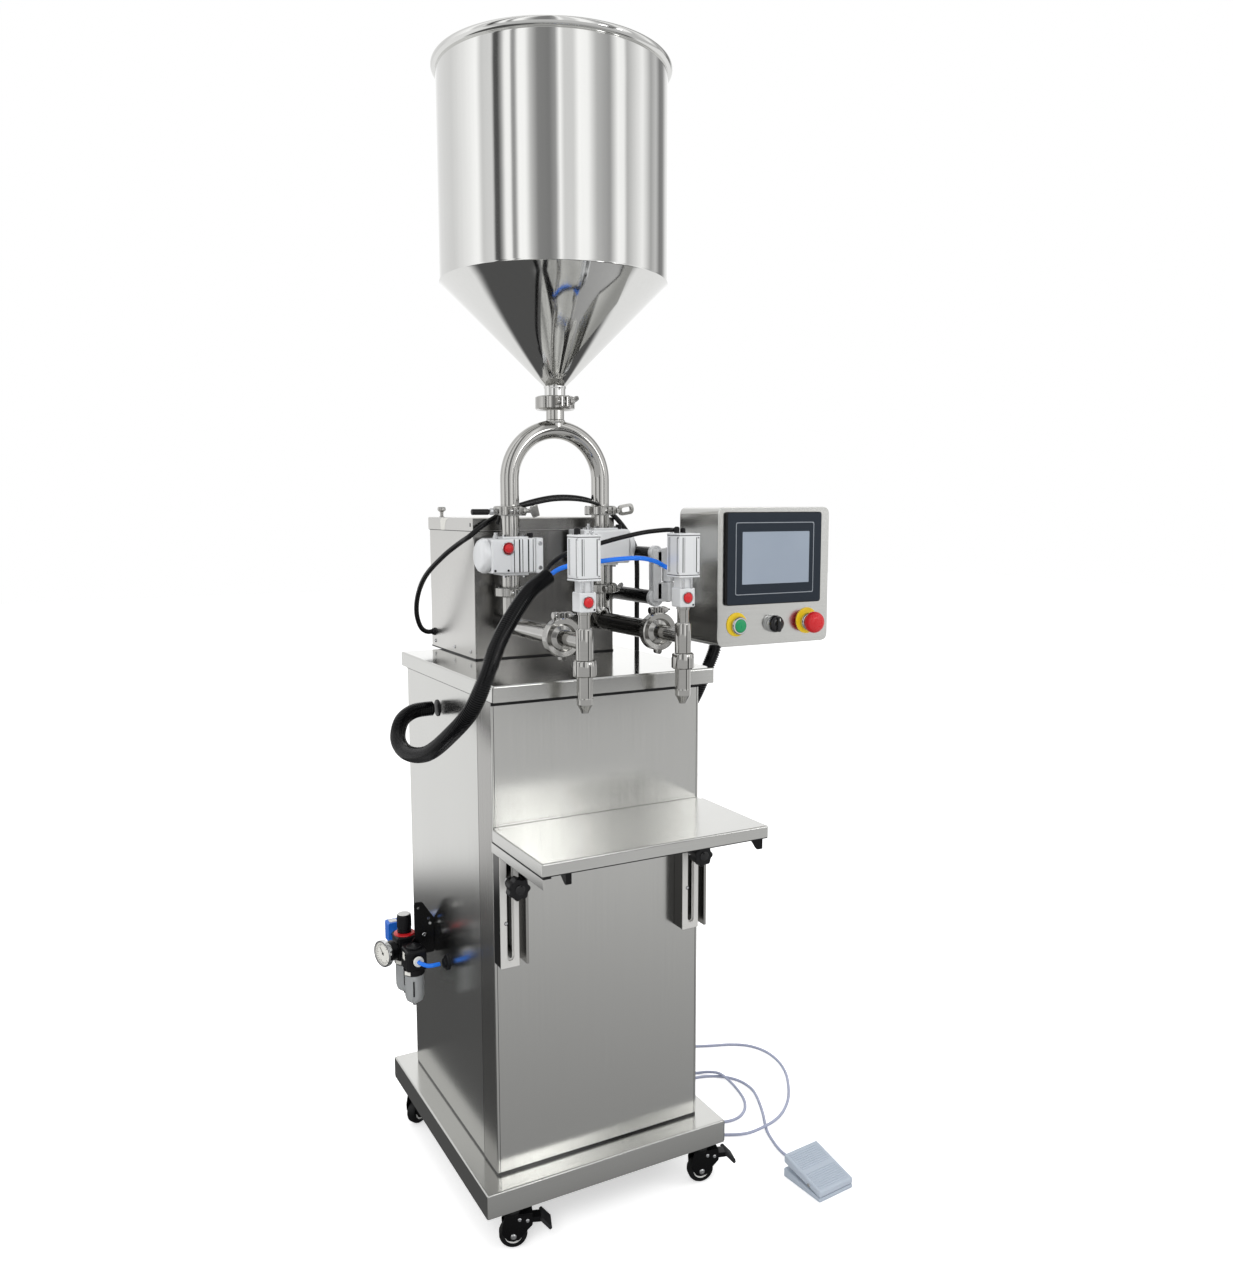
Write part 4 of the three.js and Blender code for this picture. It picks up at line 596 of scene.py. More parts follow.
def makeLead():
    path = route(lead["points"], lead["steps"])
    shape = swept(path, lead["diameter"] / 2, 12)
    thing = piece("pedal_lead", "machine", [(shape, "palePvc")], ["pedal_cord"])
    print("pedal lead", round(routeLength(path)), "mm")


makeLead()


# Hoses and cables that hang between two places of the machine
hoses = {
    "corrugated_hose_line": {
        "replaces": "corrugated_hose", "radius": 14, "finish": "blackConduit", "ribs": 186, "depth": 2.2,
        "stiffness": "stiff", "points": [
            (-99, -230, 1178), (-110, -233, 1171), (-134, -241, 1158), (-174, -255, 1118),
            (-207, -268, 1074), (-232, -278, 1024), (cabinet["left"] - 46, -262, 967),
            (cabinet["left"] - 66, -215, 919), (cabinet["left"] - 85, -140, 873),
            (cabinet["left"] - 97, -60, 862), (cabinet["left"] - 94, -5, 877),
            (cabinet["left"] - 74, 30, 902), (cabinet["left"] - 48, 44, 913),
            (-229.8, 46, 915), (-215.8, 46, 915)]},
    "control_conduit_line": {
        "replaces": "control_conduit", "radius": 13, "finish": "blackConduit", "ribs": 56, "depth": 2.2,
        "stiffness": "stiff", "follows": "control_panel", "points": [
            (283.5, -165, 1034.7), (281, -165, 1019), (272.5, -164, 998), (262.5, -160, 972),
            (254.5, -150, 942), (249.5, -134, 914), (246, -112, 886), (241.5, -86, 865), (228.8, -72, 857),
            (215.8, -70, 856)]},
    "nozzle_air_line": {
        "replaces": "nozzle_air_tube", "radius": 4, "finish": "bluePolyurethane", "stiffness": "medium",
        "points": [
            (-92, -228.5, 1181), (-84, -232, 1187), (-70, -244, 1194), (-32, -270, 1201),
            (12, -282, 1206), (52, -286, 1206), (82, -285, 1199), (98, -284, 1191),
            (103, -292.7, 1188), (103, -300.7, 1188)]},
    "nozzle_cable_line": {
        "replaces": "nozzle_cable", "radius": 4, "finish": "blackSheath", "stiffness": "medium",
        "points": [
            (-98, -223, 1189), (-88, -222, 1199), (-68, -232, 1214), (-27, -258, 1229),
            (15, -272, 1241), (58, -280, 1250), (88, -281, 1253), (102, -286, 1254),
            (106.5, -296.2, 1254), (106.5, -304.2, 1254)]},
    "sensor_line": {
        "replaces": "sensor_cable", "radius": 5, "finish": "blackSheath", "stiffness": "medium",
        "points": [
            (-139.3, 271, 1035), (-149, 271, 1035), (-162, 267, 1043), (-176, 253, 1070),
            (-183, 228, 1108), (-181, 184, 1154), (-165, 112, 1200), (-148, 60, 1228),
            (-141, 27, 1241), (-127, 22, 1254), (-96, 26, 1272), (-60, 29.5, 1288), (-36, 29, 1298),
            (40, 27, 1313), (110, 25, 1306), (158, 25, 1281), (192, 22, 1244), (208.5, 17, 1212),
            (211, 15, 1180), (211, 15, 1100), (211, 15, 1040), (211, 15, 1002.3)]},
}


# Corrugated conduit rises and falls square-shouldered, as blow-moulded polyamide does.
def ribRadius(radius, depth, step):
    return radius if step % 4 in (1, 2) else radius - depth


def makeHoses():
    for name, hose in hoses.items():
        radius = hose["radius"]
        if "ribs" in hose:
            path = route(hose["points"], hose["ribs"] * 4)
            sides = 24
            points, faces = swept(path, lambda i: ribRadius(radius, hose["depth"], i), sides)
            # the crest faces get the finish with painted glints
            crest = [face for i, face in enumerate(faces) if i // sides % 4 == 1 and len(face) == 4]
            shiny = set(crest)
            valley = [face for face in faces if face not in shiny]
            parts = [((points, valley), hose["finish"]), ((points, crest), "paintedGlintCrest")]
        else:
            path = route(hose["points"], 140)
            parts = [(swept(path, radius, 16), hose["finish"])]
        body = None if "follows" in hose else "machine"
        thing = piece(name, body, parts, [hose["replaces"]], 60)
        if "follows" in hose:
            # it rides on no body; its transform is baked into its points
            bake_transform(thing)


makeHoses()
print("hoses and cables")


# Base tray, 44 mm high, folded from 2 mm sheet, with a plate over each caster
base = {"width": 490, "depth": 543, "low": 74, "top": 118, "wall": 2, "fold": 3.5, "pad": 64}
casters = {
    "front_left": {"place": (-195, -253.5), "turn": -20, "trail": -4, "brake": True},
    "front_right": {"place": (195, -253.5), "turn": -15, "trail": -4, "brake": True},
    "rear_left": {"place": (-195, 212.5), "turn": 30, "trail": 27, "brake": False},
    "rear_right": {"place": (195, 212.5), "turn": 30, "trail": 27, "brake": False},
}


def makeBase():
    x, y = base["width"] / 2, base["depth"] / 2
    parts = [(tray(-x, x, -y, y, base["low"], base["top"], base["wall"], base["fold"]), "brushedLevelSteel")]
    half = base["pad"] / 2
    for spec in casters.values():
        px, py = spec["place"]
        pad = bar(px - half, px + half, py - half + 18, py + half, base["low"] + 0.1, base["low"] + 3, 0.5)
        parts.append((pad, "brushedLevelSteel"))
        for dx in (-24, 24):
            for dy in (-8, 26):
                bolt = turned([(0, 0), (5, 0), (5, -3.4), (0, -3.6)], 6)
                parts.append((placed(bolt, px + dx, py + dy, base["low"]), "chrome"))
    # the folded corners are closed by a ground weld, which leaves a fine line
    for sx in (-1, 1):
        for sy in (-1, 1):
            seam = bar(-0.5, 0.5, -0.5, 0.5, base["low"] + 2, base["top"] - 4)
            parts.append((placed(seam, sx * (x - 0.9), sy * (y - 0.9)), "brushedLevelSteel"))
    piece("base_tray", "machine", parts, ["base_plate"])


makeBase()


# Casters: twin-plate forks, 50 mm wheels and ribbed brake treads
caster = {
    "wheel": 25, "width": 20, "crown": (62.4, 66), "top": 73.7, "inner": 11.6, "outer": 14.1,
    "pinX": 29, "pinZ": 53, "tread": {"length": 27, "width": 36, "turn": 48, "ribs": 7}}


def makeCaster(name, x, y, turn, trail, brake):
    axle = -trail
    where = dict(x=x, y=y, turns=(("Z", turn),))
    nose = caster["pinX"] + 9 if brake else 17
    tail = axle - 14
    side = [(axle - 10, 17), (axle + 10, 17), (axle + 20, 30), (nose, caster["pinZ"] - 9), (nose, 65.7),
            (tail, 65.7), (tail - 6, caster["pinZ"] - 9), (axle - 19, 30)]
    cheek = plate(rounded(side, 7), 0, 2.5, edge=0.6)
    parts = []
    for low in (caster["inner"], -caster["outer"]):
        parts.append((placed(placed(cheek, turns=facingFront), y=low + 2.5), "blackPowderCoat"))
    crown = bar(tail, nose, -caster["outer"], caster["outer"], *caster["crown"], 1.2)
    race = turned([(0, 65), (19, 65), (20, 67), (20, 71), (17.5, caster["top"]), (0, caster["top"])], 40)
    parts += [(crown, "blackPowderCoat"), (race, "blackPowderCoat")]
    ends = [(axle, caster["wheel"], 5.2, "chrome")]
    if brake:
        ends += [(caster["pinX"], caster["pinZ"], 3.4, "chrome"),
                 (caster["pinX"] - 14, caster["pinZ"] + 3, 3.4, "chrome")]
    for px, pz, radius, finish in ends:
        head = turned([(0, 0), (radius, 0), (radius, 1), (radius * 0.7, 2.2), (radius * 0.3, 2.2),
                       (radius * 0.22, 1.4), (0, 1.4)], 24)
        parts.append((placed(head, px, -caster["outer"], pz, facingFront), finish))
        parts.append((placed(head, px, caster["outer"], pz, alongY), finish))
    pin = placed(rod(3, -caster["outer"], caster["outer"], 20), axle, 0, caster["wheel"], facingFront)
    parts.append((pin, "chrome"))
    piece(name + "_fork", name + "_caster", moved(parts, **where), [name + "_caster_fork"])

    half, radius = caster["width"] / 2, caster["wheel"]
    tyre = turned([(radius - 7, -half), (radius - 3, -half), (radius - 0.8, 2.6 - half), (radius, 5 - half),
                   (radius, half - 5), (radius - 0.8, half - 2.6), (radius - 3, half), (radius - 7, half),
                   (radius - 7, -half)], 72)
    disc = turned([(3.4, 3 - half), (8, 3 - half), (9, 0.6 - half), (radius - 6.9, 0.6 - half),
                   (radius - 6.9, half - 0.6), (9, half - 0.6), (8, half - 3), (3.4, half - 3),
                   (3.4, 3 - half)], 56)
    ring = turned([(12.2, -half - 0.1), (15.2, -half - 0.1), (15.2, half + 0.1), (12.2, half + 0.1),
                   (12.2, -half - 0.1)], 56)
    wheel = [(tyre, "blackRubber"), (disc, "glossBlack"), (ring, "paleNylon")]
    placedWheel = moved(moved(wheel, axle, 0, radius, facingFront), **where)
    piece(name + "_wheel_tyre", name + "_wheel", placedWheel, [name + "_caster_wheel"])

    if brake:
        tread = caster["tread"]
        arm = bar(-4, 27, -11, 11, -7, 2.6, 1.4)
        knuckle = placed(rod(5.5, -9.6, 9.6, 28, 0.6), turns=facingFront)
        tip = dict(x=26, turns=(("Y", tread["turn"]),))
        low, width = -3.5, tread["width"] / 2
        pad = placed(bar(low, low + tread["length"], -width, width, -3.5, 2.2, 1.6), **tip)
        parts = [(arm, "blackPowderCoat"), (knuckle, "blackPowderCoat"), (pad, "greyTread")]
        for i in range(tread["ribs"]):
            x0 = low + 2.2 + i * (tread["length"] - 5.6) / (tread["ribs"] - 1)
            rib = bar(x0 - 0.9, x0 + 0.9, 1.6 - width, width - 1.6, 2.0, 3.6, 0.5, 1)
            parts.append((placed(rib, **tip), "greyTread"))
        at = dict(x=caster["pinX"], z=caster["pinZ"])
        piece(name + "_brake_tread", name + "_brake",
              moved(moved(parts, **at), **where), [name + "_brake_pedal"])


for name, spec in casters.items():
    makeCaster(name, *spec["place"], spec["turn"], spec["trail"], spec["brake"])
print("base and casters")


# Cabinet: one folded shell, with the rings and glands of the lines that enter its sides
ports = {
    "hose": {"side": -1, "y": 46, "z": 915, "sides": 48,
             "profile": [(0, -1), (16, -1), (16, 1.44), (14.5, 2.4), (0, 2.4)]},
    "air": {"side": -1, "y": 22, "z": 418, "sides": 44,
            "profile": [(0, -1), (15, -1), (15, 2.2), (13.6, 3.4), (9, 3.6), (9, 8), (7.4, 9), (0, 9)]},
    "conduit": {"side": 1, "y": -70, "z": 856, "sides": 48,
                "profile": [(0, -1), (17, -1), (17, 3), (15.5, 5), (0, 5)]},
    "lead": {"side": 1, "y": 150, "z": 175, "gland": (9, 18)},
    "latch": {"side": 1, "y": -205, "z": 790, "sides": 28,
              "profile": [(0, -1), (8, -1), (8, 3), (6.4, 4), (6.4, 9), (5.4, 10), (0, 10)]},
}


def glandShape(radius, length):
    thread = turned([(0, -1), (radius, -1), (radius, 2.5), (radius * 0.94, 3), (radius * 0.94, length * 0.5),
                     (0, length * 0.5)], 6)
    cap = turned([(0, 0), (radius * 0.86, 0), (radius * 0.86, length * 0.75), (radius * 0.7, length),
                  (0, length)], 40)
    return [thread, cap]


def makeCabinet():
    c = cabinet
    left, right, front, back = c["left"], c["right"], c["front"], c["back"]
    low = c["bottom"] + c["foot"]
    parts = [(bar(left, right, front, back, low - 0.6, c["top"], 2.2, 3), "brushedUprightSteel")]
    # front corner of the left side, folded from the door frame, in painted shade, and its joint
    edge = front + c["strip"]
    strip = bar(left - 0.25, left + 1, front + 2.6, edge, low, c["stripTop"], 0.3, 1)
    seam = bar(left - 0.3, left + 1, edge, edge + 1, low, c["stripTop"])
    parts += [(strip, "paintedShadeUpright"), (seam, "blackNylon")]
    # door joint at the left and right of the front, and a painted shadow: black bars under the table's lip
    for x in (left + 4.6, right - 4.6):
        parts.append((bar(x - 0.4, x + 0.4, front - 0.15, front + 1, low, c["doorTop"]), "blackNylon"))
    for z0, x0, x1, y0, y1 in ((962, left, right, front - 0.3, front + 1),
                               (968, left - 0.3, left + 1, front, back)):
        parts.append((bar(x0, x1, y0, y1, z0, c["shadeTop"]), "blackNylon"))
    for port in ports.values():
        wall = left if port["side"] < 0 else right
        if "gland" in port:
            shapes = glandShape(*port["gland"])
        else:
            shapes = [turned(port["profile"], port["sides"])]
        for shape in shapes:
            turns = (("Y", 90 * port["side"]),)
            parts.append((placed(shape, wall, port["y"], port["z"], turns), "blackNylon"))
    # shadow gap between the cabinet's foot and the base: the foot is black, a painted shadow
    foot = bar(left + 1, right - 1, front + 1, back - 1, base["top"] - 0.2, low)
    parts.append((foot, "glossBlack"))
    piece("cabinet_shell", "machine", parts, ["cabinet_body"])


makeCabinet()


# Table: a tray turned over, 28 mm lip, with mitred and welded corners
table = {"side": 217, "front": -263, "back": 236, "low": 974, "top": 1002, "wall": 2, "fold": 3.5}


def makeTable():
    t = table
    side, front, back = t["side"], t["front"], t["back"]
    parts = [(tray(-side, side, front, back, t["low"], t["top"], t["wall"], t["fold"]), "polishedSheet")]
    # the lip's faces are brushed
    for x0, x1, y0, y1 in ((3 - side, side - 3, front - 0.2, front + 1),
                           (-side - 0.2, 1 - side, front + 3, back - 3),
                           (side - 1, side + 0.2, front + 3, back - 3)):
        parts.append((bar(x0, x1, y0, y1, t["low"] + 0.3, t["top"] - 3, 0.3, 1), "brushedLevelSteel"))
    piece("table_sheet", "machine", parts, ["table_top"])


makeTable()


# Housing behind the product line: satin sheet with a front in painted shade, and a loose lid
housing = {"left": -132, "right": 167, "front": 36, "back": 291, "low": 1002.3, "top": 1271.7,
           "screws": ((60, 1016), (60, 1240), (268, 1016), (150, 1016)), "gland": (271, 1035)}
lid = {"reach": 2.5, "flange": 25, "top": 1274, "wall": 2.2, "notch": (176, 214), "slot": (42, 48), "screwY": 236}


def makeHousing():
    h = housing
    shell = bar(h["left"], h["right"], h["front"], h["back"], h["low"], h["top"], 1.6, 3)
    parts = [(shell, "satinSheet")]
    # the front is a sheet of its own, in painted shade; a black strip where the housing stands on the table is a
    # painted shadow
    sheet = bar(h["left"] + 1.2, h["right"] - 1.2, h["front"] - 0.4, h["front"] + 2, h["low"] + 1.5, h["top"],
                0.3, 1)
    joint = bar(h["left"] - 0.3, h["right"] + 0.3, h["front"] - 0.6, h["back"] + 0.3, h["low"] - 0.2,
                h["low"] + 2.6)
    parts += [(sheet, "paintedShadeSheet"), (joint, "blackNylon")]
    for y, z in h["screws"]:
        for wall, turn in ((h["left"], -90), (h["right"], 90)):
            parts.append((placed(screwHead(3.6, 2.0), wall, y, z, (("Y", turn),)), "chrome"))
    for shape in glandShape(8, 7):
        parts.append((placed(shape, h["left"], *h["gland"], (("Y", -90),)), "blackNylon"))
    piece("housing_shell", "machine", parts, ["rear_housing"])

    reach, low = lid["reach"], lid["top"] - lid["flange"]
    x0, x1 = h["left"] - reach, h["right"] + reach
    y0, y1 = h["front"] - reach, h["back"] + reach
    cover = tray(x0, x1, y0, y1, low, lid["top"], lid["wall"], lid["wall"])
    # the lid's front apron is in painted shade, as the front sheet is
    apron = bar(x0 + 1, x1 - 1, y0 - 0.3, y0 + 2, low + 0.6, lid["top"] - 2, 0.3, 1)
    parts = [(cover, "satinSheet"), (apron, "paintedShadeSheet")]
    # cut-out in the left flange, rounded on its front side, with the pale sheet behind it
    n0, n1 = lid["notch"]
    gap = [(n0 + 14, low - 0.1), (n1, low - 0.1), (n1, lid["top"] - 1.6), (n0 - 14, lid["top"] - 1.6),
           (n0 + 2, lid["top"] - 5), (n0 + 9, lid["top"] - 12)]
    parts.append((placed(plate(rounded(gap, 3, 3), -0.3, 1), x0, turns=acrossX), "gaugeCard"))
    thumb = turned([(0, 0), (5, 0), (5, 1.4), (3.4, 2), (3.4, 9), (4.4, 11), (8, 13.4), (8.4, 15), (8, 19.4),
                    (6.8, 20.6), (3, 21), (0, 20.4)], 32)
    parts.append((placed(thumb, h["left"] + 8, lid["screwY"], lid["top"]), "castSteel"))
    # painted shadow under the lid's flange, and the slot as a black bar, painted shade for its opening
    shadow = bar(h["left"] - 0.5, h["right"] + 0.5, h["front"] - 0.7, h["back"], low - 1.4, low + 0.4)
    slot = bar(x0 - 0.2, x0 + 1, *lid["slot"], low + 8, low + 15, 0.2, 1)
    parts += [(shadow, "blackNylon"), (slot, "blackNylon")]
    piece("housing_cover", "machine", parts, ["rear_housing_lid"])


makeHousing()
print("cabinet, table and housing")


# Hopper: rolled rim, welded seam, 45 degree cone
hopper = {"x": 17.5, "y": -14, "radius": 211, "wall": 2, "rim": 2088, "roll": 8, "seam": 1705,
          "neckTop": 1517, "neck": 20, "foot": 1488.15, "ferrule": 32}


def makeHopper():
    h = hopper
    r, wall, roll, foot, ferruleRadius = h["radius"], h["wall"], h["roll"], h["foot"], h["ferrule"]
    neck, neckTop, seam = h["neck"], h["neckTop"], h["seam"]
    profile = [(ferruleRadius, foot), (ferruleRadius, foot + 2.9), (neck + 1.5, foot + 6), (neck, foot + 8),
               (neck, neckTop - 3), (neck + 1.4, neckTop - 1.4), (neck + 1, neckTop + 2)]
    profile += [(neck + (r - neck) * k / 12, neckTop + (seam - neckTop) * k / 12) for k in range(1, 12)]
    profile += [(r - 1.2, seam - 1.2), (r + 0.5, seam - 0.4), (r + 0.6, seam + 1.2), (r, seam + 2.4)]
    middleZ = h["rim"] - roll
    profile += [(r, seam + (middleZ - 12 - seam) * k / 8) for k in range(1, 9)]
    for k in range(17):
        angle = math.radians(-100 + 280 * k / 16)
        profile.append((r + 0.2 + roll * (0.02 + math.cos(angle)), middleZ + roll * math.sin(angle)))
    profile += [(r - wall, middleZ - 4), (r - wall, seam + 1), (neck - wall, neckTop + 1), (neck - wall, foot),
                (ferruleRadius, foot)]
    body = turned(profile, 160)
    # upright weld of the rolled sheet, on the side away from the shelf
    weld = bar(-1.4, 1.4, r - 0.4, r + 0.35, seam + 4, middleZ - 12, 0.3, 1)
    parts = [(body, "mirrorSteel"), (weld, "mirrorSteel")]
    piece("hopper_bowl", "machine", moved(parts, h["x"], h["y"]), ["hopper"], 50)


makeHopper()
print("hopper")


# Sanitary pipe clamps: two half rings, a hinge lug, a bolt and a wing nut
clamps = {
    "hopper_clamp": {"at": (17.5, -14, 1488), "axis": "Z", "turn": 0, "big": True, "wing": "short"},
    "left_upper_clamp": {"at": (-77.5, -14, 1287), "axis": "Z", "turn": 0, "wing": "blade"},
    "right_upper_clamp": {"at": (112.5, -14, 1287), "axis": "Z", "turn": 8, "wing": "loop"},
    "left_lower_clamp": {"at": (-77.5, -14, 1136), "axis": "Z", "turn": 0, "wing": "short"},
    "right_lower_clamp": {"at": (112.5, -14, 1136), "axis": "Z", "turn": 8, "wing": "short"},
    "left_nozzle_clamp": {"at": (-77.5, -236, 1072), "axis": "Y", "turn": 0, "wing": "short"},
    "right_nozzle_clamp": {"at": (112.5, -236, 1072), "axis": "Y", "turn": 0, "wing": "short"},
}


def clampShapes(big, wing, across):
    radius, lip, height = (37.5, 26, 24) if big else (34 if across else 31, 21, 18)
    half = height / 2
    ring = turned([(lip, -3), (lip + 3, -half + 1.2), (radius - 2, -half), (radius, -half + 1.8),
                   (radius, half - 1.8), (radius - 2, half), (lip + 3, half - 1.2), (lip, 3), (lip, -3)], 72)
    # the bolt and its nut run along X at this y
    y = -radius - 4
    shapes = [(ring, "castSteel")]
    for gap in (-1, 1):
        inner, outer = sorted((gap * 1.2, gap * 9.5))
        shapes.append((bar(inner, outer, y - 6, 3 - radius, 2 - half, half - 2, 1.6, 3), "castSteel"))
    shapes.append((placed(rod(5.2, -half + 1.4, half - 1.4, 24, 1), 0, radius + 1.5, 0), "castSteel"))
    shapes.append((bar(-6, 6, radius - 3, radius + 5, -half + 3.4, half - 3.4, 1.4, 2), "castSteel"))
    bolt = placed(rod(3.4, -15, 21, 20, 0.6), 0, y, 0, alongX)
    head = placed(turned([(0, -17), (6, -17), (6.4, -16), (6.4, -12.4), (0, -12.4)], 24), 0, y, 0, alongX)
    nut = placed(turned([(0, 10), (6.8, 10), (6.2, 15), (4.6, 19), (0, 19)], 24), 0, y, 0, alongX)
    shapes += [(bolt, "chrome"), (head, "castSteel"), (nut, "castSteel")]
    if wing == "blade":
        outline = rounded([(0, -4), (13, -4), (18, -13), (31, -9), (26, 13), (13, 8), (11, 4), (0, 4)], 2.4)
        blade = placed(plate(outline, -2, 2, edge=1), 14, y, 0, facingFront)
        sleeve = placed(rod(5.5, -76, -43, 24, 0.8), 0, 0, -2, alongX)
        knuckle = turned([(0, -42), (5, -42), (6.6, -39), (6.6, -35), (4.6, -31), (0, -31)], 24)
        shapes += [(sleeve, "blackNylon"), (placed(knuckle, 0, 0, -1, alongX), "chrome"), (blade, "castSteel")]
    elif wing == "loop":
        loop = plate(roundedRectangle(36, 21, 10, 6), -2.4, 2.4, [roundedRectangle(22, 9, 4.4, 6)], 1)
        shapes.append((placed(loop, 36, y, 2, (("Y", -8), ("X", 90))), "castSteel"))
    else:
        for turn in (38, 142):
            leaf = plate(rounded([(0, -3.4), (9, -5), (15, -4), (16, 2), (11, 5), (0, 3.6)], 2.4), -1.5, 1.5,
                         edge=0.8)
            shapes.append((placed(leaf, 16, y, 0, (("Y", -turn), ("X", 90))), "castSteel"))
    return shapes


def makeClamps():
    for name, clamp in clamps.items():
        x, y, z = clamp["at"]
        across = clamp["axis"] == "Y"
        turns = alongY if across else (("Z", clamp["turn"]),)
        parts = clampShapes(clamp.get("big", False), clamp["wing"], across)
        piece(name + "_ring", "machine", moved(parts, x, y, z, turns), [name])


makeClamps()


# Pipes of the product line: 35 mm tube, welded ferrules at each joint
line = {"x": 17.5, "y": -14, "legs": (-77.5, 112.5), "radius": 17.5, "bend": 95, "bendZ": 1344.5,
        "upper": 1287, "lower": 1136, "feedZ": 1072, "clampY": -236, "ferrule": 25.2}


def ferrule(radius, wide, face, towards):
    rows = [(0, face - towards * 12), (radius, face - towards * 12), (radius, face - towards * 8),
            (radius + 1, face - towards * 7), (wide, face - towards * 3), (wide, face), (0, face)]
    return turned(rows if towards > 0 else rows[::-1], 56)


def weldRing(radius, z):
    return turned([(0, z - 1.6), (radius, z - 1.6), (radius + 0.7, z - 0.6), (radius + 0.7, z + 0.6),
                   (radius, z + 1.6), (0, z + 1.6)], 48)


def makeManifold():
    x0, r = line["x"], line["radius"]
    bend, bendZ = line["bend"], line["bendZ"]
    leg = line["upper"] + 0.15
    path = [Vector((-bend, 0, leg)), Vector((-bend, 0, (leg + bendZ) / 2))]
    path += [Vector((-bend * math.cos(math.pi * k / 40), 0, bendZ + bend * math.sin(math.pi * k / 40)))
             for k in range(41)]
    path += [Vector((bend, 0, (leg + bendZ) / 2)), Vector((bend, 0, leg))]
    parts = [(swept(path, r, 48), "polishedPipe")]
    for side in (-1, 1):
        parts.append((placed(ferrule(r, line["ferrule"], leg, -1), side * bend), "castSteel"))
    top = hopper["foot"] - 0.3
    riser = turned([(0, bendZ + bend), (r - 0.4, bendZ + bend), (r - 0.4, top - 8), (r + 2, top - 6),
                    (hopper["ferrule"], top - 3), (hopper["ferrule"], top), (0, top)], 56)
    bead = turned([(r - 1, bendZ + bend + 10), (r + 1.6, bendZ + bend + 14.5), (r + 0.6, bendZ + bend + 17.5),
                   (r - 1, bendZ + bend + 18.5), (r - 1, bendZ + bend + 10)], 48)
    parts += [(riser, "polishedPipe"), (bead, "polishedPipe")]
    piece("manifold_pipe", "machine", moved(parts, x0, line["y"]), ["inlet_manifold"], 50)


def makeFeedPipes():
    r = line["radius"]
    for side, x in zip(("left", "right"), line["legs"]):
        top = line["lower"] - 0.15
        z, bend = line["feedZ"], 28
        front = line["clampY"] - line["y"] + 0.15
        angles = [math.pi / 2 * k / 10 for k in range(11)]
        corner = [Vector((0, -bend * (1 - math.cos(a)), z + bend - bend * math.sin(a))) for a in angles]
        path = [Vector((0, 0, top)), Vector((0, 0, z + bend + 6)), *corner, Vector((0, front, z))]
        back = housing["front"] + 7 - line["y"]
        stub = placed(rod(r, 0, back, 40), 0, 0, z, alongY)
        end = placed(ferrule(r, line["ferrule"], front, -1), 0, 0, z, alongY)
        # the drop mirrors the pale side of the room; the right run and the stubs carry a painted reflection of its
        # dark side
        drop = [p for p in path if p.z > z + 1]
        run = [p for p in path if p.z < z + 6]
        tone = "paintedDarkReflectionSteel" if side == "right" else "polishedPipe"
        heel = placed(weldRing(r, 14), 0, 0, z, alongY)
        parts = [(swept(drop, r, 48), "polishedPipe"), (swept(run, r, 48), tone), (stub, "paintedDarkReflectionSteel"),
                 (end, "castSteel"), (heel, "polishedPipe"), (ferrule(r, line["ferrule"], top, 1), "castSteel")]
        piece(side + "_feed_line", "machine", moved(parts, x, line["y"]),
              [side + "_feed_pipe"], 50)


makeManifold()
makeFeedPipes()
print("product line")


# Inlet valves: the pipe passes a pneumatic actuator of extruded aluminium
valve = {"width": 104, "depth": 70, "height": 69, "cap": 33, "flange": 52, "plug": (-19, 20),
         "slots": ((-7, 1.6), (3, 2.6), (10, 1.4), (21, 2.6), (31, 1.4)),
         "left": {"x": -77.5, "z": 1198, "side": -1}, "right": {"x": 112.5, "z": 1212, "side": 1}}


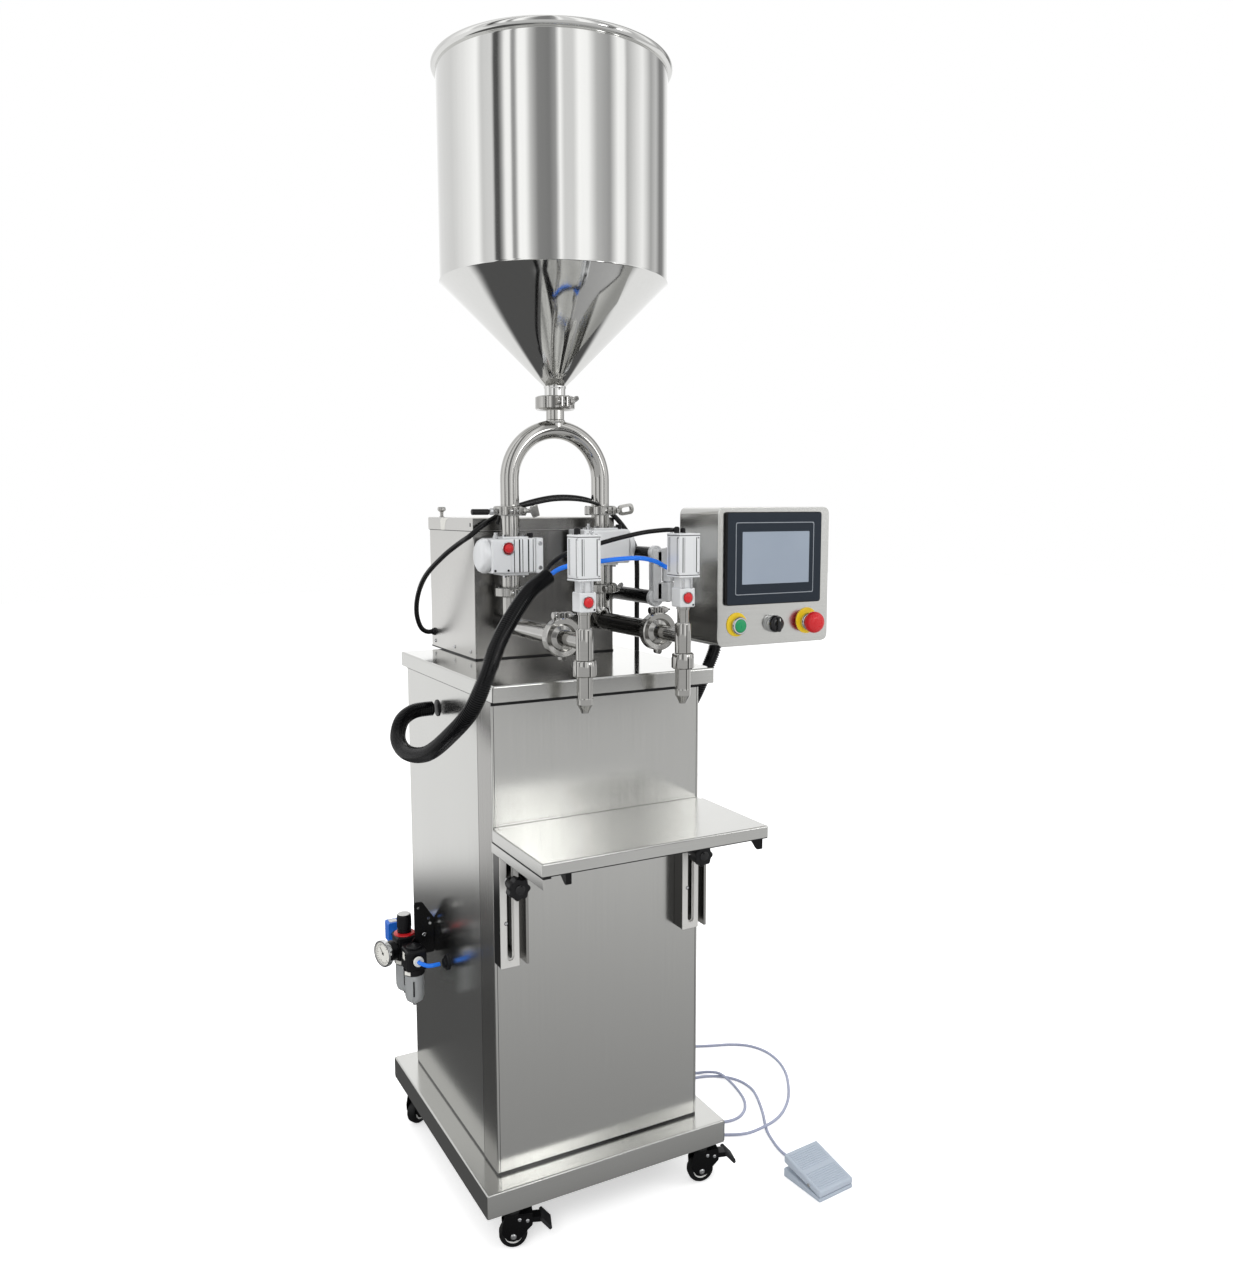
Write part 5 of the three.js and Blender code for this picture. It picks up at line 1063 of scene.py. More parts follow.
def makeValve(name, x, z, side):
    r = line["radius"]
    w, d, h = valve["width"] / 2, valve["depth"] / 2, valve["height"] / 2
    low, high = line["lower"] + 0.15, line["upper"] - 0.15
    pipe = rod(r, low, high, 48)
    parts = [(pipe, "polishedPipe"), (ferrule(r, line["ferrule"], low, -1), "castSteel"),
             (ferrule(r, line["ferrule"], high, 1), "castSteel")]
    top, foot = z + h + 4, z - h + 8
    blocks = [bar(-w + 4, w - 14, -d + 1.5, d, foot, top, 4, 3),
              bar(w - 14.5, w, -d - 0.5, d, foot - 0.5, top + 0.5, 2.5, 3),
              bar(-w + 1, -w + 40, -d - 0.2, -d + 8, foot + 1, top - 1, 3, 3)]
    body = [(block, "anodisedAluminium") for block in blocks]
    # extruded slots, their depth painted black as shade
    for dx, wide in valve["slots"]:
        slot = bar(dx, dx + wide, -d + 1.1, -d + 4, foot + 2, top - 2, 0.3, 1)
        body.append((slot, "blackNylon"))
    c = valve["cap"]
    cap = turned([(0, -2), (c - 0.5, -2), (c - 0.5, 1), (c - 1, 5), (c - 4, 10.4), (c - 9.6, 13.8), (c - 16, 15),
                  (0, 15)], 64)
    body.append((placed(cap, -w, 0, (top + foot) / 2, (("Y", -90),)), "anodisedAluminium"))
    parts += moved(body, turns=(("Z", 180),)) if side > 0 else body
    face = -d
    for dz in (-h + 18, h - 6):
        parts.append((placed(screwHead(4, 1.8), w - 7, face - 0.4, z + dz, facingFront), "chrome"))
    for dx in (-w + 7, -w + 33):
        parts.append((placed(screwHead(2.2, 1), dx, face - 0.2, foot + 6, facingFront), "blackNylon"))
    # bare red plug on the left valve's front
    plugX, plugZ = valve["plug"]
    ring = turned([(9.2, 0), (12.6, 0), (12.6, 1.6), (11.4, 2.6), (9.2, 1), (9.2, 0)], 44)
    gap = rod(9.4, 0, 0.6, 36)
    plug = turned([(0, 0), (8.4, 0), (8.4, 3), (7.4, 4.6), (4, 5.6), (0, 5.9)], 40)
    for shape, tone in ((ring, "chrome"), (gap, "blackNylon"), (plug, "redPlastic")) if side < 0 else ():
        parts.append((placed(shape, plugX, face - 0.2, z + plugZ, facingFront), tone))
    # test plug on the front corner of the top
    stud = turned([(0, top), (4.6, top), (4.6, top + 6), (3.6, top + 7), (3.6, top + 11), (0, top + 11.6)], 28)
    parts.append((placed(stud, -w + 12, -d + 8), "chrome"))
    flange = valve["flange"] / 2
    for z0, z1, boltZ, turns in ((foot - 4, foot + 1, foot - 4, (("X", 180),)), (top - 1, top + 3, top + 3, ())):
        parts.append((bar(-flange, flange, -flange, flange, z0, z1, 1.4, 2), "anodisedAluminium"))
        for dx in (6 - flange, flange - 6):
            bolt = turned([(0, 0), (4, 0), (4, 3.6), (0, 4)], 6)
            parts.append((placed(bolt, dx, 6 - flange, boltZ, turns), "chrome"))
    for dz in (-9, 5):
        parts.append((placed(rod(4.5, -1, 9, 20, 0.8), w - 14, -4 + dz * 0.4, top), "blackNylon"))
    piece(name + "_valve_body", "machine", moved(parts, x, line["y"]),
          [name + "_inlet_valve"])


for name in ("left", "right"):
    makeValve(name, valve[name]["x"], valve[name]["z"], valve[name]["side"])
print("inlet valves")


# Nozzles: square pneumatic cylinder, stem with its branch, union nut and spout
nozzle = {
    "y": -322, "cylinder": 42, "cylinderLow": 1174, "cylinderTop": 1249, "neck": 24,
    "blockLow": 1123, "blockTop": 1156, "block": 30, "stem": 10.2, "stemLow": 1096, "sleeve": 14.2,
    "sleeveLow": 1043, "branch": 13.5, "nut": 19.8, "nutLow": 1016, "spout": 13.6, "shoulder": 969,
    "tip": 6.5, "end": 955}


def makeNozzle(side, x):
    n = nozzle
    at = dict(x=x, y=n["y"])
    half = n["cylinder"] / 2
    low, top = n["cylinderLow"], n["cylinderTop"]
    # body between two caps, with dark joints
    inner, cap = half - 0.4, 4
    parts = [(bar(-inner, inner, -inner, inner, low + cap, top - cap, 1.6, 3), "anodisedAluminium")]
    for z0, z1 in ((low, low + cap - 0.5), (top - cap + 0.5, top)):
        parts.append((bar(-half, half, -half, half, z0, z1, 1.4, 3), "anodisedAluminium"))
    parts.append((bar(1 - half, half - 1, 1 - half, half - 1, low + 1, top - 1), "blackNylon"))
    for turn in range(4):
        # three grooves down each face, black strips as painted shade in the grooves
        for dx, wide in ((-13.5, 1.5), (-10, 0.6), (13.5, 1.5)):
            groove = bar(dx - wide / 2, dx + wide / 2, -half + 0.2, -half + 1.4, low + 9, top - 7)
            parts.append((placed(groove, turns=(("Z", 90 * turn),)), "blackNylon"))
        corner = placed(screwHead(2.6, 1.2), -half + 6, -half + 6, top)
        parts.append((placed(corner, turns=(("Z", 90 * turn),)), "chrome"))
        for z in (low + 8, top - 7):
            port = placed(screwHead(2, 0.8), half - 4, 0.4 - half, z, facingFront)
            parts.append((placed(port, turns=(("Z", 90 * turn),)), "chrome"))
    neck = n["neck"] / 2
    parts.append((bar(-neck, neck, -neck, neck, n["blockTop"] - 1, low + 1, 2, 2), "anodisedAluminium"))
    for dx in (-neck + 4, neck - 4):
        parts.append((placed(rod(2.4, n["blockTop"], low, 20), dx, -neck - 1.2), "chrome"))
    block = n["block"] / 2
    parts.append((bar(-block, block, -block, block, n["blockLow"], n["blockTop"], 2.4, 3), "anodisedAluminium"))
    middleZ = (n["blockLow"] + n["blockTop"]) / 2
    plug = turned([(0, 0), (8, 0), (8, 2.2), (6.4, 3), (0, 3)], 36)
    ring = turned([(8.4, 0), (10.6, 0), (10.6, 1), (9.6, 1.8), (8.4, 0.8), (8.4, 0)], 36)
    parts += [(placed(ring, 0, -block, middleZ, facingFront), "chrome"),
              (placed(plug, 0, -block, middleZ, facingFront), "redPlastic"),
              (placed(screwHead(1.8, 0.6), block - 4, -block, n["blockLow"] + 4, facingFront), "blackNylon")]
    fittings = [(-6, 12, 5.5, 11)] if side == "left" else [(-6, 12, 4.8, 11), (6, 12, 4.8, 9)]
    for fx, fy, radius, height in fittings:
        nut = rod(radius + 0.6, top, top + 4, 6)
        stem = rod(radius, top + 3, top + height - 0.6, 28, 1.4)
        collar = rod(radius - 1.6, top + 3, top + height, 28, 0.6)
        parts += [(placed(s, fx, fy), "blackNylon") for s in (nut, stem, collar)]
    if side == "left":
        bead = turned([(0, top), (1.6, top), (1.6, top + 1.6)]
                      + [(3.6 * math.cos(a), top + 4.4 + 3.6 * math.sin(a))
                         for a in [math.radians(-62 + 19 * k) for k in range(8)]] + [(0, top + 8)], 24)
        parts.append((placed(bead, 10, -8), "chrome"))
    piece(side + "_nozzle_head", "machine", moved(parts, **at),
          [side + "_nozzle_actuator"])

    stem = turned([(0, n["sleeveLow"]), (n["sleeve"] - 0.8, n["sleeveLow"]), (n["sleeve"], n["sleeveLow"] + 1),
                   (n["sleeve"], n["stemLow"] - 3), (n["sleeve"] - 3, n["stemLow"]), (n["stem"], n["stemLow"]),
                   (n["stem"], n["blockLow"] - 5), (n["stem"] + 1.4, n["blockLow"] - 4.4),
                   (n["stem"] + 1.4, n["blockLow"] - 0.4), (0, n["blockLow"] - 0.4)], 48)
    end = line["clampY"] - n["y"] - 0.15
    branch = turned([(0, 0), (n["branch"], 0), (n["branch"], end - 10), (n["branch"] + 1, end - 8),
                     (line["ferrule"], end - 3), (line["ferrule"], end), (0, end)], 56)
    parts = [(stem, "turnedSteel"), (placed(branch, 0, 0, line["feedZ"], alongY), "castSteel")]
    piece(side + "_nozzle_stem", "machine", moved(parts, **at),
          [side + "_nozzle_body"], 50)

    low, high = n["nutLow"], n["sleeveLow"] - 0.3
    nut = turned([(n["spout"] - 3, low), (n["nut"] - 2.2, low), (n["nut"], low + 2), (n["nut"], high - 8),
                  (n["nut"] - 0.8, high - 7), (n["nut"] - 0.8, high - 2), (n["nut"] - 2.4, high),
                  (n["spout"] - 3.4, high), (n["spout"] - 3.4, low + 1), (n["spout"] - 3, low)], 56)
    spout = turned([(n["tip"] - 2, n["end"]), (n["tip"] - 0.3, n["end"]), (n["tip"], n["end"] + 0.8),
                    (n["tip"] + 1.6, n["end"] + 5), (n["spout"] - 1.4, n["shoulder"] - 1.6),
                    (n["spout"] - 0.2, n["shoulder"]), (n["spout"], n["shoulder"] + 1.6),
                    (n["spout"], n["shoulder"] + 8), (n["spout"] + 0.7, n["shoulder"] + 9),
                    (n["spout"] + 0.7, n["shoulder"] + 11), (n["spout"], n["shoulder"] + 12),
                    (n["spout"], low + 0.4), (n["spout"] - 2, low + 0.4), (n["spout"] - 2, n["shoulder"] + 1),
                    (n["tip"] - 2, n["end"] + 3), (n["tip"] - 2, n["end"])], 56)
    parts = [(nut, "turnedSteel"), (spout, "turnedSteel")]
    piece(side + "_nozzle_tip", "machine", moved(parts, **at),
          [side + "_nozzle_spout"])


for side, x in zip(("left", "right"), line["legs"]):
    makeNozzle(side, x)
print("nozzles")


# Control box: brushed and rounded, on a knuckle behind its left edge
control = {
    "left": 235, "right": 491, "front": -245, "back": -111, "bottom": 1035, "top": 1293, "corner": 12,
    "buttonZ": 1074, "buttons": (280, 360.5, 441), "swivel": (219, -94), "lug": (1149.6, 1176.4),
    "lugScrews": (1156, 1170), "gland": (283.5, -165), "screwInset": 18,
    "panel": (249.5, 467.5, 1112, 1284, -252.3), "screen": (154, 97)}


def makeControlBox():
    c = control
    width, height = c["right"] - c["left"], c["top"] - c["bottom"]
    centreX, centreZ = (c["left"] + c["right"]) / 2, (c["bottom"] + c["top"]) / 2
    shell = plate(roundedRectangle(width, height, c["corner"] * 1.25, 6), 0, c["back"] - c["front"], edge=1.6)
    parts = [(placed(shell, centreX, c["back"], centreZ, facingFront), "brushedLevelSteel")]
    # folded rear cover with its screws
    cover = plate(roundedRectangle(width - 22, height - 22, 9, 5), 0, 1.5, edge=0.5)
    parts.append((placed(cover, centreX, c["back"] + 1.2, centreZ, facingFront), "brushedLevelSteel"))
    for dx in (-1, 1):
        for dz in (-1, 0, 1):
            x, z = centreX + dx * (width / 2 - c["screwInset"]), centreZ + dz * (height / 2 - c["screwInset"])
            parts.append((placed(screwHead(3.2, 1.6), x, c["back"] + 1.2, z, alongY), "chrome"))
    for index, x in enumerate(c["buttons"]):
        ring = turned([(12.9, -10), (14.8, -10), (16.6, -8), (17, -2.4), (16, 0.4), (12.9, 0.4), (12.9, -10)], 56)
        pair = [(ring, "chrome"), (rod(13, -1.2, 0, 40), "blackNylon")]
        parts += moved(pair, x, c["front"], c["buttonZ"], alongY)
        # bare yellow plates behind the start button and the emergency stop
        if index != 1:
            outer, shift = (22.4, -3) if index == 0 else (25, -1)
            disc = turned([(12, -1.8), (outer - 1.4, -2.2), (outer, -1.4), (outer, 0.2), (12, 0.2),
                           (12, -1.8)], 56)
            parts.append((placed(disc, x + shift, c["front"], c["buttonZ"] + 2, alongY), "yellowPlastic"))
    sx, sy = c["swivel"]
    lug = bar(sx + 7, sx + 44, c["back"] - 1, c["back"] + 24, *c["lug"], 3, 3)
    knuckle = tube(5.8, 11.6, *c["lug"], 48, 1)
    parts += [(lug, "diecastGrey"), (placed(knuckle, sx, sy), "diecastGrey")]
    for z in c["lugScrews"]:
        parts.append((placed(screwHead(3.4, 2), sx + 30, c["back"] + 24, z, alongY), "chrome"))
    parts.append((placed(rod(17.5, 0.4, -0.2, 40), *c["gland"], c["bottom"]), "blackNylon"))
    piece("control_box_shell", "control_panel", parts, ["control_box"])

    x0, x1, z0, z1, face = c["panel"]
    width, height = x1 - x0, z1 - z0
    centreX, centreZ = (x0 + x1) / 2, (z0 + z1) / 2
    depth = c["front"] - 0.3 - face
    bezel = plate(roundedRectangle(width, height, 6, 5), 0, depth, edge=2, steps=3)
    cover = plate(roundedRectangle(width - 3, height - 3, 5, 5), depth - 0.3, depth + 0.3, edge=0.25, steps=1)
    parts = [(placed(bezel, centreX, c["front"] - 0.3, centreZ, facingFront), "blackNylon"),
             (placed(cover, centreX, c["front"] - 0.3, centreZ, facingFront), "slateAbs")]
    face -= 0.3
    # printed silver line, then the screen under its glass
    outline = roundedRectangle(width - 38, height - 38, 4, 4)
    inside = roundedRectangle(width - 41, height - 41, 3.4, 4)
    parts.append((placed(plate(outline, 0, 0.25, [inside]), centreX, face, centreZ, facingFront), "silverInk"))
    parts.append((placed(plate(roundedRectangle(*c["screen"], 1.5, 3), 0, 0.2), centreX + 2, face, centreZ + 1,
                         facingFront), "displayGlass"))
    piece("touch_panel", "control_panel", parts, ["touch_screen"])


def makeButtons():
    c = control
    z, face = c["buttonZ"], c["front"]
    start = turned([(0, -12), (9, -12), (11.4, -11.4), (12.6, -9.8), (12.6, -8.6), (12.4, -7.4), (0, -7.4)], 48)
    piece("start_cap", "start", [(placed(start, c["buttons"][0], face, z, alongY), "greenPlastic")],
          ["start_button"])
    knob = turned([(0, -19), (9, -18.6), (13.4, -17), (15.4, -13.6), (16, -10), (12.7, -9), (12.7, -1.4),
                   (0, -1.4)], 48)
    lever = plate(roundedRectangle(8.8, 28.8, 3.4, 5), 14, 23, edge=2.4, steps=4)
    mark = plate(rounded([(-0.7, 6), (0.7, 6), (0.7, 11), (-0.7, 11)], 0.5, 2), 22.9, 23.2)
    parts = [(placed(knob, c["buttons"][1], face, z, alongY), "glossBlack"),
             (placed(lever, c["buttons"][1], face, z, facingFront), "glossBlack"),
             (placed(mark, c["buttons"][1], face, z, facingFront), "gaugeCard")]
    piece("selector_knob", "selector", parts, ["mode_selector"])
    mushroom = turned([(0, -36), (9, -35.6), (14, -34.4), (17.4, -32), (19.4, -28.6), (20.4, -25), (20.4, -20),
                       (19.4, -18.4), (13.4, -18), (12.4, -15.6), (12.4, -7.8), (0, -7.8)], 64)
    parts = [(placed(mushroom, c["buttons"][2], face, z, alongY), "redPlastic")]
    piece("stop_mushroom", "stop", parts, ["emergency_stop"])


makeControlBox()
makeButtons()


# Arm: two black tubes from the housing to a cast swivel head. low and high are the height and
# radius of each tube; head is the cast head's front and back, and lug the gap for the box's lug.
arm = {"x": 190, "low": (1119, 13.5), "high": (1206, 10.5), "front": -89, "back": 122, "head": (-104, -84),
       "window": (-100, -91, 1141, 1191), "lug": (1148.6, 1177.4), "foot": (86, 1099, 1226),
       "footScrews": (1146, 1166, 1180)}


def makeArm():
    x = arm["x"]
    parts = []
    for z, radius in (arm["low"], arm["high"]):
        barrel = rod(radius + 0.4, arm["front"], arm["back"], 40, 1)
        parts.append((placed(barrel, x, 0, z, alongY), "blackPowderCoat"))
        joint = turned([(0, -100), (radius + 2, -100), (radius + 3.5, -98), (radius + 3.5, -90), (radius + 2, -88),
                        (0, -88)], 44)
        parts.append((placed(joint, x, 0, z, alongY), "diecastGrey"))
        clamp = turned([(radius, 88), (radius + 4, 88), (radius + 4, 121), (radius, 121), (radius, 88)], 40)
        parts.append((placed(clamp, x, 0, z, alongY), "diecastGrey"))
    low, high = arm["low"][0] - 8, arm["high"][0] + 8
    (front, back), (y0, y1, z0, z1) = arm["head"], arm["window"]
    window = rounded([(y0, z0), (y1, z0), (y1, z1), (y0, z1)], 4, 3)
    outline = rounded([(front, low), (back - 2, low), (back - 2, high), (front, high)], 6, 4)
    web = plate(outline, -9, 9, [window], 1.4)
    parts.append((placed(web, x, 0, 0, acrossX), "diecastGrey"))
    sx, sy = control["swivel"]
    for z0, z1 in ((low, arm["lug"][0]), (arm["lug"][1], high)):
        parts.append((bar(x, sx, front, back, z0, z1, 2, 2), "diecastGrey"))
        parts.append((placed(rod(12, z0, z1, 44, 1.4), sx, sy), "diecastGrey"))
    parts.append((placed(rod(5, low - 1.5, high + 1.5, 32, 0.8), sx, sy), "chrome"))
    y, z0, z1 = arm["foot"]
    parts.append((bar(housing["right"] + 0.3, x, y, arm["back"], z0, z1, 3, 3), "diecastGrey"))
    for z in arm["footScrews"]:
        parts.append((placed(screwHead(4, 2.6), x, (y + arm["back"]) / 2, z, alongX), "chrome"))
    piece("arm_frame", "machine", parts, ["support_arm"])


makeArm()
print("control box and arm")


# Shelf: an upturned tray with welded corners on two slotted channels
shelf = {"side": 212, "front": -442, "back": -237, "low": 733, "top": 753, "screw": 592, "knob": 664,
         "rails": {"left": -207, "right": 155}, "railY": -227.3, "railMiddle": 622.85, "slot": (526, 700)}


def makeShelf():
    s = shelf
    sheet = tray(-s["side"], s["side"], s["front"], s["back"], s["low"], s["top"], 2, 3)
    ledge = bar(cabinet["left"] + 2, cabinet["right"] - 2, s["back"] - 4, -228.4, s["top"] - 3,
                s["top"] - 0.4, 0.6)
    # painted shadow under the tray's front lip
    shade = bar(2 - s["side"], s["side"] - 2, s["front"] + 0.3, s["front"] + 2, s["low"] - 1.8, s["low"] + 0.2)
    parts = [(sheet, "brushedLevelSteel"), (ledge, "brushedLevelSteel"), (shade, "blackNylon")]
    piece("shelf_sheet", "shelf", parts, ["shelf_tray"])
    for side, x in s["rails"].items():
        y = s["railY"]
        web = plate(roundedRectangle(34, 219.7, 1, 2), 0, 3, [roundedSlot(6.6)], 0.5, 1)
        grooveFloor = plate(roundedRectangle(27, 212, 1, 2), -2, -1, [roundedSlot(4.3)])
        parts = moved(channelSides(), x, y)
        for shape in (web, grooveFloor):
            parts.append((placed(shape, x + 17, y - 27, s["railMiddle"], facingFront), "blastedSheet"))
        # a flush screw beside the groove
        collarRing = placed(tube(2.6, 3.6, 0, 0.06, 24), x + 10.4, y - 30, s["screw"], facingFront)
        flush = placed(rod(2.6, -1, 0.05, 20), x + 10.4, y - 30, s["screw"], facingFront)
        parts += [(collarRing, "blackNylon"), (flush, "chrome")]
        # the gusset stays above the sheet's lip, only its tip hangs below; the blade carries a painted dark
        # reflection and the tip is black as painted shade
        gusset = [(-228.3, 654), (-257.3, 654), (-330, 733), (-437, 733), (-437, 750.7), (-239.3, 750.7),
                  (-239.3, 732.7), (-228.3, 732.7)]
        blade = plate(rounded(gusset, 3, 3), -2, 2, edge=0.6)
        parts.append((placed(blade, x + 43, 0, 0, acrossX), "paintedDarkReflectionSteel"))
        tip = plate(rounded([(-404, 734), (-440.5, 734), (-440.5, 713), (-434, 713)], 1.5, 2), -5, 5, edge=0.8)
        parts.append((placed(tip, x + 41, 0, 0, acrossX), "blackPowderCoat"))
        # a bare strip along the tray's left side, with a painted shadow above it
        if side == "left":
            strip = bar(-209.5, -206.5, -439.7, -227.3, 710.7, 727.5, 0.6)
            shadow = bar(-208.5, -195, -439, -229, 727, 732.8, 0.4)
            parts += [(strip, "brushedLevelSteel"), (shadow, "blackNylon")]
        piece(side + "_shelf_rail", "shelf", parts, [side + "_shelf_bracket"])
        # heights along the knob are distances in front of the machine's middle
        at = (x + 18, 0, s["knob"])
        lobes = []
        for k in range(84):
            angle = 2 * math.pi * k / 84
            radius = 18.5 + 1.5 * math.cos(7 * angle)
            lobes.append((radius * math.cos(angle), radius * math.sin(angle)))
        cap = turned([(0, 301), (9, 301), (9, 302.6), (7.6, 303.6), (0, 303.8)], 36)
        parts = [(plate(lobes, 281.7, 301.7, edge=3, steps=4), "blackNylon"),
                 (rod(9, 257.6, 283, 36, 1), "blackNylon"), (cap, "glossBlack"),
                 (rod(4, 227.3, 260, 24), "chrome"), (tube(4.2, 10, 257.4, 259, 36, 0.4), "chrome")]
        piece(side + "_rail_knob", side + "_knob", moved(parts, *at, facingFront), [side + "_star_knob"])


# Outline of a rail's slot, round at both ends, about the rail's middle
def roundedSlot(radius):
    low, high = shelf["slot"]
    outline = []
    for z, first in ((low + 5, 180), (high - 5, 0)):
        for degrees in range(first, first + 181, 20):
            a = math.radians(degrees)
            outline.append((1 + radius * math.cos(a), z - shelf["railMiddle"] + radius * math.sin(a)))
    return outline


def channelSides():
    # the flanges carry a painted dark reflection and the front plates painted shade
    sides = ((0, 3, -29, 0, "paintedDarkReflectionSteel"), (31, 34, -29, 0, "paintedDarkReflectionSteel"), (33, 52, -3, 0, "paintedShadeUpright"),
             (47, 52, -30, -1, "paintedShadeUpright"))
    return [(bar(x0, x1, y0, y1, 513, 732.7, 0.6, 1), finish) for x0, x1, y0, y1, finish in sides]


makeShelf()
print("shelf")


# Air preparation unit on the cabinet's left side, flow from the rear to the front
air = {"x": -256, "rearY": 136, "rearTop": 446, "frontY": 76, "frontTop": 438, "portZ": 420, "wall": 49.2,
       "bracketY": 97.5}


def makeAirUnit():
    a = air
    at = dict(x=a["x"])
    parts = []
    for y, top in ((a["rearY"], a["rearTop"]), (a["frontY"], a["frontTop"])):
        parts.append((bar(-20, 20, y - 21, y + 21, 397, top, 4, 3), "blackNylon"))
        parts.append((bar(-20.8, 20.8, y - 13, y + 13, 404, 434, 2, 2), "blackNylon"))
        collar = turned([(0, 386), (19.4, 386), (21, 388), (21, 398), (0, 398)], 48)
        bowl = turned([(4, 329), (11, 329), (16, 333), (18.6, 341), (19, 350), (19, 387), (16.8, 387), (16.8, 350),
                       (14.6, 338), (11, 332), (4, 332), (4, 329)], 56)
        drain = turned([(0, 321), (3, 321), (4.4, 322), (4.4, 327), (6, 328), (6, 332), (0, 332)], 28)
        core = turned([(0, 352), (9, 352), (10.4, 358), (10.4, 386), (0, 386)], 32)
        parts += [(placed(collar, 0, y), "blackNylon"), (placed(bowl, 0, y), "clearPolycarbonate"),
                  (placed(drain, 0, y), "chrome"), (placed(core, 0, y), "diecastGrey")]
        # sight strip and bare pale patch on the side that shows
        strip = placed(bar(18.6, 19.8, -1.6, 1.6, 345, 376, 0.4, 1), turns=(("Z", -112),))
        patch = placed(bar(20.2, 21.4, -7, 7, 388.6, 396.4, 0.4, 1), turns=(("Z", -146),))
        parts += [(placed(strip, 0, y), "blackNylon"), (placed(patch, 0, y), "gaugeCard")]
        for sx in (-1, 1):
            for sy in (-1, 1):
                screw = placed(screwHead(2.4, 1), sx * 20.6, y + sy * 10, 430, (("Y", 90 * sx),))
                parts.append((screw, "blackNylon"))
    top = a["frontTop"]
    filler = turned([(0, top), (15, top), (15, top + 3.5), (12, top + 5), (0, top + 5)], 40)
    parts += [(placed(filler, 0, a["frontY"]), "blackNylon"), (bar(-13, 13, 96, 116, 405, 435, 2), "blackNylon"),
              (bar(-21.6, -20.6, 68, 80, 419, 433, 0.3, 1), "gaugeCard")]
    boss = turned([(0, 444.6), (19.4, 444.6), (21, 446), (20.4, 448.4), (15, 449.4), (0, 449.4)], 48)
    parts.append((placed(boss, 0, a["rearY"]), "redPlastic"))
    for y0, y1, finish in ((156, 250, "chrome"), (48, 56, "blackNylon")):
        parts.append((placed(rod(7, y0, y1, 28, 0.8), 0, 0, a["portZ"], alongY), finish))
    hexNut = rod(10.5, 156, 165, 6)
    parts.append((placed(hexNut, 0, 0, a["portZ"], alongY), "chrome"))
    # gauge, tilted a little off the unit's face
    turn = (("Z", 200), ("Y", 90))
    case = turned([(0, 26), (17, 26), (20, 29), (20, 46), (25.6, 47), (0, 47)], 56)
    rim = turned([(22.6, 46), (26, 46.6), (26.6, 48), (26.6, 54.4), (25.6, 55.6), (23.4, 55.6), (22.6, 53),
                  (22.6, 46)], 64)
    card = rod(22.8, 52.4, 52.8, 56)
    stem = rod(6, 10, 28, 24)
    hub = turned([(0, 52.6), (2, 52.6), (2, 54.2), (0, 54.4)], 20)
    hand = plate([(-0.8, -4), (0.8, -4), (0.3, 15), (-0.3, 15)], 53.2, 53.6)
    dial = [(case, "blackNylon"), (rim, "chrome"), (card, "gaugeCard"), (stem, "chrome"), (hub, "glossBlack"),
            (placed(hand, turns=(("Z", 128),)), "glossBlack")]
    for k in range(21):
        inner = 15 if k % 5 == 0 else 17.5
        tick = plate([(-0.4, inner), (0.4, inner), (0.4, 20.4), (-0.4, 20.4)], 52.9, 53.1)
        dial.append((placed(tick, turns=(("Z", 315 - 270 * k / 20),)), "glossBlack"))
    parts += moved(dial, 0, a["rearY"], a["portZ"], turn)
    # bracket between the two modules, folded back along the cabinet
    wall = a["wall"]
    outline = rounded([(2, 413), (wall, 413), (wall, 484), (40, 497), (26, 519), (9, 521), (9, 450),
                       (2, 440)], 5, 4)
    holes = [circle(2.6, 20, 17, 508), circle(3, 20, 38, 484)]
    sheet = placed(plate(outline, -1.5, 1.5, holes, 0.5), 0, a["bracketY"], 0, facingFront)
    flange = bar(wall - 3, wall, 96, 129, 425, 480, 0.8)
    parts += [(sheet, "blackPowderCoat"), (flange, "blackPowderCoat")]
    for x, z, size in ((40, 474, 3.4), (28, 452, 4.6)):
        parts.append((placed(screwHead(size, 2.4), x, 96, z, facingFront), "chrome"))
    tubePath = route([(0, 49, 420), (0, 40, 420), (3.4, 32, 420), (11.9, 24.7, 418), (20.3, 22, 418),
                      (33.9, 22, 418)], 40)
    parts.append((swept(tubePath, 4, 18), "bluePolyurethane"))
    collet = turned([(4.2, 44), (9.4, 44), (10, 45), (10, 48.6), (4.2, 48.6), (4.2, 44)], 32)
    parts.append((placed(collet, 0, 0, a["portZ"], alongY), "gaugeCard"))
    piece("air_filter_set", "machine", moved(parts, **at), ["air_unit"])

    rows = [(0, 449.4), (13.2, 449.4), (14, 450.4), (14, 456), (13, 456.6), (13, 458), (14, 458.6), (14, 482),
            (13.6, 485), (12.8, 486.4), (0, 486.6)]
    body = placed(turned(rows, 56), a["x"], a["rearY"])
    top = placed(turned([(0, 486.4), (12.4, 486.4), (12, 487.4), (0, 487.6)], 40), a["x"], a["rearY"])
    flutes = []
    for k in range(24):
        flute = bar(13.4, 14.4, -0.7, 0.7, 460, 481, 0.3, 1)
        flutes.append((placed(flute, a["x"], a["rearY"], 0, (("Z", 15 * k),)), "blackNylon"))
    piece("regulator_cap", "regulator", [(body, "blackNylon"), (top, "paleNylon"), *flutes], ["regulator_knob"])

    slide = placed(plate(roundedRectangle(26, 42, 4, 4), 0, 26, [circle(7.5, 32, 0, -3)], 1.6, 3),
                   a["x"], 229, 423, facingFront)
    cap = bar(a["x"] - 8, a["x"] + 8, 208, 224, 443, 445.4, 1)
    piece("shut_off_valve", "shut_off", [(slide, "blueNylon"), (cap, "paleNylon")], ["shut_off_slide"])


makeAirUnit()
print("air unit")


# Foot pedal: moulded wedge base and a ribbed treadle
pedal = {"place": (395, -370), "turn": 5, "width": 86, "length": 100, "low": 22, "high": 47,
         "ribGroups": ((-42, -6), (6, 42)), "ribs": 9}


